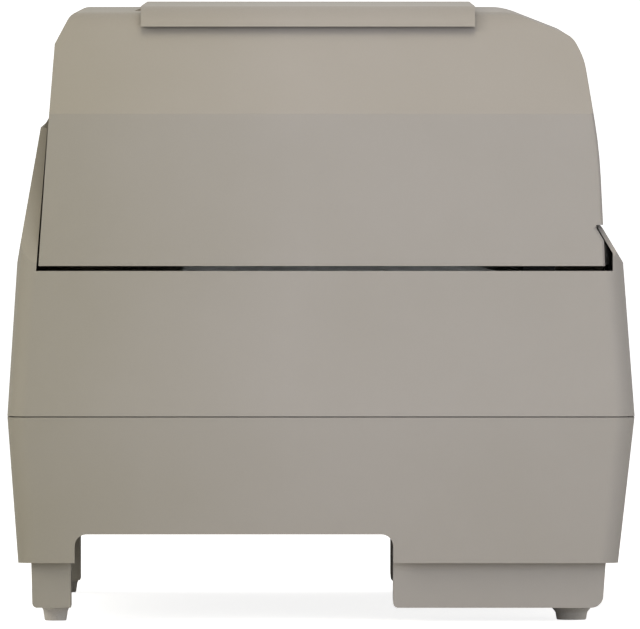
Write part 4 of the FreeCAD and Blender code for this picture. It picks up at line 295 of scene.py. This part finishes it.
def turned_steel(name, swatch, roughness, line_mm=0.6):
    """Centreless-ground bar along X: fine rings round the bar."""
    material, tree, shader = begin(name)
    rings = add(tree, "ShaderNodeTexNoise", {"Vector": place(tree, line_mm, (1, 0.02, 0.02)), "Scale": 1.0})
    rough = rescale(tree, rings.outputs["Fac"], 0.3, 0.7, roughness - 0.05, roughness + 0.08)
    tree.links.new(rough, shader.inputs["Roughness"])
    tree.links.new(blend_colours(tree, rings.outputs["Fac"], swatch, "#d4d4d0"), shader.inputs["Base Color"])
    shader.inputs["Metallic"].default_value = 1.0
    return material


zinc = rolled_steel("zinc_plated_sheet", "#b9bab8", "#a7a8a5", 0.38, 9)
ground = turned_steel("ground_bar", "#c8c9c8", 0.2)
motor_can = rolled_steel("motor_can_steel", "#8f9090", "#7f8080", 0.42, 5)
head_casting = rolled_steel("black_anodised_casting", "#3a3a3c", "#303032", 0.5, 3)
print("metals:", [m.name for m in (zinc, ground, motor_can, head_casting)])

# %% Rubber, ink and glassy plastics
def ground_rubber(name, swatch, worn, grain_mm, roughness):
    """Rubber ground to size: matt, with an even felt of fine scratches."""
    material, tree, shader = begin(name)
    grit = add(tree, "ShaderNodeTexNoise", {"Vector": place(tree, grain_mm), "Scale": 1.0, "Detail": 4.0})
    tone = rescale(tree, grit.outputs["Fac"], 0.3, 0.7, 0.0, 1.0)
    tree.links.new(blend_colours(tree, tone, swatch, worn), shader.inputs["Base Color"])
    bump = add(tree, "ShaderNodeBump", {"Height": grit.outputs["Fac"], "Strength": 0.5,
                                        "Distance": 0.04 * MM})
    tree.links.new(bump.outputs["Normal"], shader.inputs["Normal"])
    shader.inputs["Roughness"].default_value = roughness
    shader.inputs["Specular IOR Level"].default_value = 0.35
    return material


def woven_ink(name, thread_mm):
    """Nylon ribbon soaked in ink: a plain weave of fine threads, nearly black with an oily sheen."""
    material, tree, shader = begin(name)
    warp = add(tree, "ShaderNodeTexWave", {"Vector": place(tree, thread_mm), "Scale": 1.0},
               bands_direction="X")
    weft = add(tree, "ShaderNodeTexWave", {"Vector": place(tree, thread_mm), "Scale": 1.0},
               bands_direction="Z")
    cloth = add(tree, "ShaderNodeMath", {0: warp.outputs["Fac"], 1: weft.outputs["Fac"]},
                operation="MAXIMUM").outputs[0]
    tree.links.new(blend_colours(tree, cloth, "#121214", "#26262b"), shader.inputs["Base Color"])
    bump = add(tree, "ShaderNodeBump", {"Height": cloth, "Strength": 0.6, "Distance": 0.05 * MM})
    tree.links.new(bump.outputs["Normal"], shader.inputs["Normal"])
    shader.inputs["Roughness"].default_value = 0.45
    return material


def smoke(name, swatch, roughness, clear):
    """Tinted acrylic: colour from the swatch, a hard gloss, and wiping marks that dull it a little.

    clear is the share of the light that passes instead of being scattered.
    """
    material, tree, shader = begin(name)
    wiped = add(tree, "ShaderNodeTexNoise", {"Vector": place(tree, 24, (0.25, 1, 1)), "Scale": 1.0,
                                             "Detail": 2.0})
    rough = rescale(tree, wiped.outputs["Fac"], 0.3, 0.7, roughness, roughness + 0.06)
    tree.links.new(rough, shader.inputs["Roughness"])
    shader.inputs["Base Color"].default_value = linear(swatch)
    shader.inputs["Transmission Weight"].default_value = clear
    shader.inputs["IOR"].default_value = 1.49
    return material


def circuit_board(name):
    """Solder-masked laminate: green lacquer over a faint pattern of copper tracks."""
    material, tree, shader = begin(name)
    tracks = add(tree, "ShaderNodeTexBrick", {"Vector": place(tree, 9, (1, 2, 1)), "Scale": 1.0,
                                              "Mortar Size": 0.06, "Color1": linear("#1f4a32"),
                                              "Color2": linear("#23523a"), "Mortar": linear("#3c7a55")})
    tree.links.new(tracks.outputs["Color"], shader.inputs["Base Color"])
    shader.inputs["Roughness"].default_value = 0.32
    shader.inputs["Coat Weight"].default_value = 0.4
    return material


platen_rubber = ground_rubber("ground_platen_rubber", "#1c1c1d", "#262627", 0.7, 0.62)
foot_rubber = ground_rubber("grey_foot_rubber", "#d9d3cd", "#cec8c1", 1.1, 0.75)
ink_nylon = woven_ink("inked_nylon", 0.35)
window_acrylic = smoke("smoke_acrylic", "#6b6661", 0.04, 0.88)
display_acrylic = smoke("display_acrylic", "#262826", 0.1, 0.25)
laminate = circuit_board("green_laminate")
print("materials in all:", len(bpy.data.materials))

# %% [markdown]
# ## Dressing the construction
# A node whose form is right keeps its mesh and only takes its finish. The record of the part names a
# slot for every node, so one table from slot to finish dresses them all, and a few nodes that share a slot
# but not a colour are named on their own.

# %% Give every node its finish
SLOT_FINISH = {
    "case_plastic": case_abs, "smoke_window": window_acrylic, "zinc_steel": zinc, "ground_steel": ground,
    "platen_rubber": platen_rubber, "foot_rubber": foot_rubber, "gear_plastic": white_acetal,
    "black_plastic": black_abs, "lever_plastic": lever_acetal, "motor_steel": motor_can,
    "head_metal": head_casting, "ink_fabric": ink_nylon, "board": laminate, "panel_plastic": panel_abs,
}
OWN_FINISH = {"pause_button": button_abs, "line_feed_button": button_abs, "form_feed_button": button_abs,
              "tear_off_button": button_abs, "power_rocker": rocker_abs, "display_window": display_acrylic}
slot_of = {part["node"]: part["material_slot"] for part in frame["record"]["subparts"]}


def dress(piece, material):
    """Give an object one material."""
    piece.data.materials.clear()
    piece.data.materials.append(material)


for node_name, piece in frame["nodes"].items():
    dress(piece, OWN_FINISH.get(node_name, SLOT_FINISH[slot_of[node_name]]))
print("dressed", len(frame["nodes"]), "nodes")

# %% [markdown]
# ## Softened edges
# A moulding tool and a folding press leave no edge truly sharp, and it is the fine light line along each
# rounded edge that tells the eye how large a thing is. The construction is drawn with sharp edges, so a
# merged copy stands for each node: coincident corners are joined, flat facets are made one face again,
# and every edge that turns by more than a limit is rounded with the radius that such a part has. The front
# door's inner ribs reach through its leaning skin, so its copy is cut level with the skin first.

# %% Round the edges of the nodes
import bmesh

body_of_node = {node: body for body, nodes in frame["record"]["behaviour"]["bodies"].items()
                for node in nodes}

FRONT_FOOT = (-191.0, 125.6)  # place and height in mm where the front wall starts to lean back
FRONT_LEAN = 7.0              # how far in mm it leans back
FRONT_RISE = 93.4             # over this height


def flush_front(form):
    """Cut off what stands in front of the leaning front wall, and close the cuts level with it.

    The wall's plane goes through FRONT_FOOT, and its normal is (0, -rise, lean) scaled to length one.
    """
    normal = Vector((0, -FRONT_RISE, FRONT_LEAN)).normalized()
    place = Vector((0, *FRONT_FOOT)) * MM
    everything = [*form.verts, *form.edges, *form.faces]
    bmesh.ops.bisect_plane(form, geom=everything, dist=0.002 * MM, plane_co=place, plane_no=normal,
                           clear_outer=True)
    open_edges = [edge for edge in form.edges if edge.is_boundary]
    bmesh.ops.holes_fill(form, edges=open_edges, sides=0)
    print("front wall trimmed: open edges before", len(open_edges),
          "and after", sum(edge.is_boundary for edge in form.edges))


TRIM = {"front_cover": flush_front}
WHOLE_FLATS = ("top_cover",)


def merged_copy(node):
    """A copy of a node's mesh with its facets joined: corners within 0.01 mm, flats within half a degree.

    The flats are divided into triangles again at the end, because rounding the edges of a face that has an
    opening in it can close the opening. The hood's flats stay whole: its openings stay open without that.
    """
    form = bmesh.new()
    form.from_mesh(frame["nodes"][node].data)
    bmesh.ops.remove_doubles(form, verts=form.verts, dist=0.01 * MM)
    if node in TRIM:
        TRIM[node](form)
    bmesh.ops.dissolve_limit(form, angle_limit=math.radians(0.5), verts=form.verts, edges=form.edges)
    if node not in WHOLE_FLATS:
        bmesh.ops.triangulate(form, faces=form.faces)
    bmesh.ops.recalc_face_normals(form, faces=form.faces)
    mesh = bpy.data.meshes.new(node + "_soft")
    form.to_mesh(mesh)
    form.free()
    return mesh


def settle(mesh, name, body, material, *replaced):
    """Put a finished mesh into the scene on its body, with its material, in place of nodes."""
    mesh.materials.clear()
    mesh.materials.append(material)
    piece = bpy.data.objects.new(name, mesh)
    bpy.context.scene.collection.objects.link(piece)
    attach(piece, body)
    if replaced:
        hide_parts(*replaced)
    return piece


SHARP_TURN = math.radians(28)


def soften(node, radius_mm):
    """Round every edge of a node that turns by more than SHARP_TURN."""
    mesh = merged_copy(node)
    mesh.polygons.foreach_set("use_smooth", np.ones(len(mesh.polygons), bool))
    piece = settle(mesh, node + "_soft", body_of_node[node],
                   OWN_FINISH.get(node, SLOT_FINISH[slot_of[node]]), node)
    edge = piece.modifiers.new("rounded_edges", "BEVEL")
    edge.limit_method = "ANGLE"
    edge.angle_limit = SHARP_TURN
    edge.width = radius_mm * MM
    edge.segments = 2
    edge.miter_outer = "MITER_ARC"
    edge.use_clamp_overlap = True
    normals = piece.modifiers.new("area_weighted_normals", "WEIGHTED_NORMAL")
    normals.weight = 100
    normals.keep_sharp = True
    return piece


EDGE_RADIUS_MM = {
    "lower_case": 0.8, "upper_case": 0.8, "top_cover": 1.2, "top_lid": 0.9, "front_cover": 0.8,
    "cover_window": 0.3, "display_window": 0.3, "base_pan": 0.4, "left_side_frame": 0.4,
    "right_side_frame": 0.4, "front_rail": 0.4, "front_paper_guide": 0.3, "rear_paper_guide": 0.3,
    "tear_bar": 0.2, "main_board": 0.2, "power_supply": 0.3, "ribbon_cartridge": 0.6, "carriage": 0.8,
    "print_head": 0.3, "feed_motor": 0.8, "carriage_motor": 0.8, "left_tractor_frame": 0.4,
    "right_tractor_frame": 0.4, "left_flap": 0.3, "right_flap": 0.3,
    "left_lock_lever": 0.3, "right_lock_lever": 0.3, "power_inlet": 0.3, "interface_sockets": 0.3,
    "power_rocker": 0.5, "platen_gear": 0.15, "feed_pinion": 0.12, "idler_gear": 0.15, "tractor_gear": 0.15,
    "motor_pulley": 0.2, "idler_pulley": 0.2, "shaft_bushes": 0.3, "left_sprocket": 0.2,
    "right_sprocket": 0.2, "tractor_shaft": 0.4, "platen_shaft": 0.4, "carriage_shaft": 0.5,
    "tractor_guide_shaft": 0.4, "idler_stud": 0.3, "cover_hinge_pins": 0.3, "lid_hinge_pins": 0.3,
    "case_screws": 0.3,
}
softened = {node_name: soften(node_name, radius) for node_name, radius in EDGE_RADIUS_MM.items()}
print("softened", len(softened), "nodes")

# %% Round the hood's front corners more
CORNER_RADIUS_MM = 5.0
CORNER_END = 0.339     # the outer skin lies beyond this |x|
CORNER_FRONT = -0.150  # and in front of this y


def outer_corner_edges(mesh, end, front):
    """Edges of the outer skin that run up between the end wall and the front of the hood.

    An edge is one of them if both its ends lie beyond |x| = end and y = front, it rises by more than a
    millimetre, and one of its faces looks sideways and the other forwards.
    """
    form = bmesh.new()
    form.from_mesh(mesh)
    chosen = []
    for edge in form.edges:
        a, b = (corner.co for corner in edge.verts)
        outside = all(abs(p.x) > end and p.y < front for p in (a, b))
        if outside and abs(a.z - b.z) > MM and len(edge.link_faces) == 2:
            normals = [face.normal for face in edge.link_faces]
            sideways = max(abs(n.x) * (n.x * a.x > 0) for n in normals)
            forwards = max(-n.y for n in normals)
            if sideways > 0.6 and forwards > 0.6:
                chosen.append(edge.index)
    form.free()
    return chosen


hood = softened["top_cover"]
corner_edges = outer_corner_edges(hood.data, CORNER_END, CORNER_FRONT)
weights = np.zeros(len(hood.data.edges))
weights[corner_edges] = 1.0
attribute = hood.data.attributes.new("bevel_weight_edge", "FLOAT", "EDGE")
attribute.data.foreach_set("value", weights)
corner = hood.modifiers.new("rounded_front_corners", "BEVEL")
corner.limit_method = "WEIGHT"
corner.width = CORNER_RADIUS_MM * MM
corner.segments = 5
hood.modifiers.move(len(hood.modifiers) - 1, 0)
print("front corner edges of the hood:", len(corner_edges))

# %% [markdown]
# ## Turned, moulded and looped forms
# Some parts have a form that the construction only roughs out: feet with a flared rim, a fluted knob, a
# ground roller, push buttons with a dish for the finger, and toothed or pinned belts. Each is a grid of
# points from a formula, written for a whole array at once, and the grids of one part are joined into one
# mesh. Lengths are in millimetres until the mesh is made.

# %% Grids into meshes
def quads(rows, columns, along=False):
    """Corner numbers of a grid's four-sided faces.

    Point (i, j) has number i * columns + j. The last column joins the first, and with along the last row
    joins the first too.
    """
    i, j = np.meshgrid(np.arange(rows - (not along)), np.arange(columns), indexing="ij")
    down, right = (i + 1) % rows, (j + 1) % columns
    corners = (i * columns + j, i * columns + right, down * columns + right, down * columns + j)
    return np.stack(corners, axis=-1).reshape(-1, 4)


def together(parts):
    """Join (points, faces) pairs: the faces of each are numbered on from the points before it."""
    starts = np.cumsum([0] + [len(points) for points, _ in parts[:-1]])
    return (np.concatenate([points for points, _ in parts]),
            np.concatenate([faces + start for (_, faces), start in zip(parts, starts)]))


def form_mesh(name, parts, crisp=40):
    """A closed mesh in metres from grids in millimetres; edges that turn by more than crisp stay sharp."""
    points, faces = together(parts)
    mesh = bpy.data.meshes.new(name)
    mesh.from_pydata((points * MM).tolist(), [], faces.tolist())
    form = bmesh.new()
    form.from_mesh(mesh)
    bmesh.ops.remove_doubles(form, verts=form.verts, dist=0.001 * MM)
    bmesh.ops.recalc_face_normals(form, faces=form.faces)
    form.to_mesh(mesh)
    form.free()
    mesh.polygons.foreach_set("use_smooth", np.ones(len(mesh.polygons), bool))
    mesh.set_sharp_from_angle(angle=math.radians(crisp))
    return mesh


def rounded(corners, radius, steps=4):
    """A polyline with each inner corner P replaced by a curve of the second degree.

    With A and B at the radius from P on its two sides, the curve is (1-t)^2 A + 2 t (1-t) P + t^2 B.
    """
    corners = np.asarray(corners, float)
    t = np.linspace(0, 1, steps + 1)[:, None]
    out = [corners[:1]]
    for before, corner, after in zip(corners[:-2], corners[1:-1], corners[2:]):
        sides = [before - corner, after - corner]
        reach = [min(radius, np.hypot(*side) / 2) / np.hypot(*side) for side in sides]
        a, b = (corner + side * r for side, r in zip(sides, reach))
        out.append((1 - t) ** 2 * a + 2 * t * (1 - t) * corner + t ** 2 * b)
    return np.concatenate(out + [corners[-1:]])


def lathe(profile, centre, count=64, axis="Z", ripple=None):
    """Turn a profile of (radius, height) round an axis through a centre.

    A point at angle a is (r cos a, r sin a, h), with r = radius * ripple(a, height share) where a ripple is
    given. The axis X carries h along X.
    """
    profile = np.asarray(profile, float)
    angle = np.linspace(0, 2 * np.pi, count, endpoint=False)[None, :]
    radius, height = profile[:, :1], profile[:, 1:]
    if ripple is not None:
        radius = radius * ripple(angle, (height - height.min()) / np.ptp(height))
    x, y = radius * np.cos(angle), radius * np.sin(angle)
    h = height + 0 * angle
    grid = np.stack((h, x, y) if axis == "X" else (x, y, h), axis=-1) + np.asarray(centre, float)
    return grid.reshape(-1, 3), quads(len(profile), count)


print("a grid of 3 rows and 4 columns has", len(quads(3, 4)), "faces round it")

# %% Feet, platen roller and ribbon knob
def foot(centre, top, low):
    """Moulded foot: a tapering stub that flares into a rim under the casing."""
    profile = rounded([(0, 0), (low, 0), (low + 0.7, 4.6), (top - 0.6, 6.6), (top, 7.4), (top, 8.5),
                       (0, 8.5)], 0.9)
    return lathe(profile, centre, 72)


FRONT_FEET = (282.5, -153)
REAR_FEET = (300.0, 162)
front_feet = form_mesh("front_feet_form", [foot((side * FRONT_FEET[0], FRONT_FEET[1], 0), 12.0, 9.0)
                                           for side in (-1, 1)])
rear_feet = form_mesh("rear_feet_form", [foot((side * REAR_FEET[0], REAR_FEET[1], 0), 8.2, 6.6)
                                         for side in (-1, 1)])
settle(front_feet, "front_feet_form", "case", foot_rubber, "front_feet")
settle(rear_feet, "rear_feet_form", "case", foot_rubber, "rear_feet")

PLATEN_AXIS = (0, 20, 235)
PLATEN_BORE = 9.1
low, high = (np.array(corner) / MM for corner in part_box("platen_roller"))
platen_radius = (high[2] - low[2]) / 2
section = rounded([(PLATEN_BORE, low[0]), (platen_radius - 0.4, low[0]), (platen_radius, low[0] + 0.6),
                   (platen_radius, high[0] - 0.6), (platen_radius - 0.4, high[0]),
                   (PLATEN_BORE, high[0])], 0.5)
section = np.concatenate([section, section[:1]])
roller = form_mesh("platen_roller_form", [lathe(section, PLATEN_AXIS, 128, "X")])
settle(roller, "platen_roller_form", "platen", platen_rubber, "platen_roller")


def flutes(angle, share):
    """Twelve scallops round a knob: r is cut by 7 % where |cos 6a| is small, and less near the top."""
    return 1 - 0.07 * (1 - np.abs(np.cos(6 * angle)) ** 0.5) * (1 - 0.5 * share)


KNOB_AXIS = (200, -133, 0)
knob_low, knob_high = (np.array(corner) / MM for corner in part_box("ribbon_knob"))
rim = knob_high[2]
cap = rounded([(0, rim - 1.4), (6.4, rim - 1.4), (7.6, rim), (9.6, rim), (9.95, rim - 7), (0, rim - 7)], 0.7)
stem = rounded([(0, knob_low[2]), (3.0, knob_low[2]), (3.0, rim - 3), (0, rim - 3)], 0.3)
knob = form_mesh("ribbon_knob_form", [lathe(cap, KNOB_AXIS, 240, ripple=flutes),
                                      lathe(stem, KNOB_AXIS, 48)])
settle(knob, "ribbon_knob_form", "ribbon_knob", lever_acetal, "ribbon_knob")
print("feet, roller and knob:", [len(m.polygons) for m in (front_feet, rear_feet, roller, knob)], "faces")

# %% Push buttons with a dish
LEAN = math.atan(FRONT_LEAN / FRONT_RISE)
PANEL_PLACE, PANEL_LOW = 296.5, 142
PANEL_ORIGIN = (PANEL_PLACE, FRONT_FOOT[0] + FRONT_LEAN * (PANEL_LOW - FRONT_FOOT[1]) / FRONT_RISE, PANEL_LOW)
BUTTON_PITCH = 17.5
BUTTON_HEIGHT = 18.0  # of the row of buttons over the panel's lower edge
SQUARENESS = 4.4      # 2 is an ellipse, and a large number a sharp rectangle
RING_POINTS = 64


def rounded_rectangle(half_x, half_z):
    """Points of a rounded rectangle by angle: the superellipse |x/a|^n + |z/b|^n = 1, n its squareness.

    At angle t, x is a |cos t|^(2/n) and z is b |sin t|^(2/n), each with the sign of its cosine or sine.
    """
    angle = np.linspace(0, 2 * np.pi, RING_POINTS, endpoint=False)
    across, up = (np.sign(f) * np.abs(f) ** (2 / SQUARENESS) for f in (np.cos(angle), np.sin(angle)))
    return np.stack((half_x * across, half_z * up), axis=-1)


def button(place):
    """A loft of rounded rectangles in the panel's frame: skirt, stem, rolled rim and dished face.

    The frame leans back with the front wall: y' = y cos L + z sin L and z' = z cos L - y sin L.
    """
    rings = [(0.0, 0.0, 3.9), (7.6, 5.6, 3.9), (7.6, 5.6, 2.8), (6.45, 4.45, 2.8), (6.45, 4.45, -1.3),
             (6.3, 4.3, -1.75), (5.9, 3.9, -1.97), (5.3, 3.3, -1.95), (4.0, 2.4, -1.7), (2.0, 1.2, -1.55),
             (0.0, 0.0, -1.5)]
    grid = []
    for half_x, half_z, depth in rings:
        flat = rounded_rectangle(half_x, half_z)
        grid.append(np.stack((flat[:, 0], np.full(len(flat), depth), flat[:, 1]), axis=-1))
    x, y, z = (np.concatenate(grid) + (place, 0, BUTTON_HEIGHT)).T
    cosine, sine = math.cos(LEAN), math.sin(LEAN)
    leaning = np.stack((x, y * cosine + z * sine, z * cosine - y * sine), axis=-1)
    return leaning + PANEL_ORIGIN, quads(len(rings), RING_POINTS)


for number, node in enumerate(("pause_button", "line_feed_button", "form_feed_button", "tear_off_button")):
    cap_mesh = form_mesh(node + "_form", [button(BUTTON_PITCH * (number - 1.5))], 50)
    settle(cap_mesh, node + "_form", node, button_abs, node)
print("four buttons of", len(cap_mesh.polygons), "faces each")

# %% Belts
def loop_path(ends, radius, step):
    """Points and outward directions round a stadium about two centres on a line, one every step or so."""
    (a, b), straight = ends, abs(ends[1] - ends[0])
    arc = np.pi * radius
    total = 2 * straight + 2 * arc
    s = np.linspace(0, total, max(int(round(total / step)), 8), endpoint=False)
    first = s < straight
    turn = (s >= straight) & (s < straight + arc)
    back = (s >= straight + arc) & (s < 2 * straight + arc)
    angle = np.where(first, np.pi / 2, np.where(turn, np.pi / 2 - (s - straight) / radius,
                     np.where(back, -np.pi / 2, -np.pi / 2 - (s - 2 * straight - arc) / radius)))
    along = np.where(first, a + s, np.where(turn, b, np.where(back, b - (s - straight - arc), a)))
    outward = np.stack((np.cos(angle), np.sin(angle)), axis=-1)
    return np.stack((along, 0 * s), axis=-1), outward, s


def belt(ends, inner, outer, width, step, tooth_pitch=0.0, tooth_depth=0.0):
    """A belt's closed section swept round a stadium, in its own frame of (along, across the loop, width).

    The inner face moves in and out by tooth_depth in a square wave of the pitch, for a toothed belt.
    """
    centre, outward, s = loop_path(ends, (inner + outer) / 2, step)
    wave = (np.mod(s / tooth_pitch, 1) < 0.5) * tooth_depth if tooth_pitch else 0 * s
    rows = []
    inside, outside = inner + wave, outer + 0 * s
    for radius, side in ((inside, -0.5), (inside, 0.5), (outside, 0.5), (outside, -0.5)):
        flat = centre + outward * radius[:, None]
        rows.append(np.column_stack((flat, np.full(len(s), side * width))))
    grid = np.stack(rows, axis=1)
    return grid.reshape(-1, 3), quads(len(s), 4, along=True)


PULLEY_PLACES = (-236, 236)
DRIVE_PLACE, DRIVE_HEIGHT = -66, 202
TOOTH_PITCH, TOOTH_DEPTH = 2.04, 0.3
points, faces = belt(PULLEY_PLACES, inner=8.32, outer=9.48, width=5.98, step=TOOTH_PITCH / 4,
                     tooth_pitch=TOOTH_PITCH, tooth_depth=TOOTH_DEPTH)
drive = np.column_stack((points[:, 0], DRIVE_PLACE + points[:, 1], DRIVE_HEIGHT + points[:, 2]))
belt_mesh = form_mesh("drive_belt_form", [(drive, faces)], 30)
settle(belt_mesh, "drive_belt_form", "case", platen_rubber, "drive_belt")

PIN_PROFILE = rounded([(0, -0.3), (1.85, -0.3), (1.75, 1.5), (1.2, 2.35), (0, 2.6)], 0.6)
WHEEL_PLACES = (-146.1, -108)  # of the front and rear wheels in a tractor
TRACTOR_HEIGHT = 172
TRACTOR_HOME = 150
BAND_RADIUS = 12.7
PIN_PLACES = (-139.75, -127.05, -114.35)


def pin_belt(home):
    """One tractor's belt: a band round two wheels along Y, with domed pins at the paper's half-inch pitch."""
    points, faces = belt(WHEEL_PLACES, inner=11.55, outer=BAND_RADIUS, width=6.96, step=0.8)
    band = np.column_stack((home + points[:, 2], points[:, 0], TRACTOR_HEIGHT + points[:, 1]))
    parts = [(band, faces)]
    pin, pin_faces = lathe(PIN_PROFILE, (0, 0, 0), 24)
    x, y, h = pin.T
    reach = BAND_RADIUS + h
    for place in PIN_PLACES:
        for up in (-1, 1):
            parts.append((np.column_stack((home + x, place + y, TRACTOR_HEIGHT + up * reach)), pin_faces))
    for place, way in zip(WHEEL_PLACES, (-1, 1)):
        parts.append((np.column_stack((home + x, place + way * reach, TRACTOR_HEIGHT + y)), pin_faces))
    return parts


for side, body in ((-1, "left_tractor"), (1, "right_tractor")):
    node = body.replace("tractor", "pin_belt")
    settle(form_mesh(node + "_form", pin_belt(side * TRACTOR_HOME)), node + "_form", body, black_abs, node)
print("belts:", len(belt_mesh.polygons), "faces in the toothed one")

# %% [markdown]
# ## Size of the dressed printer
# The dressed printer must be as large as the construction, so the script prints, for the low and the high
# corner of its box, how far each lies from the construction's, in mm.

# %% Print how much larger the dressed printer is
visual_bounds = [list(corner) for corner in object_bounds()]
growth = [[round((v - c) / MM, 2) for c, v in zip(*pair)] for pair in zip(cad_bounds, visual_bounds)]
print("the dressed printer is larger by, in mm:", growth)
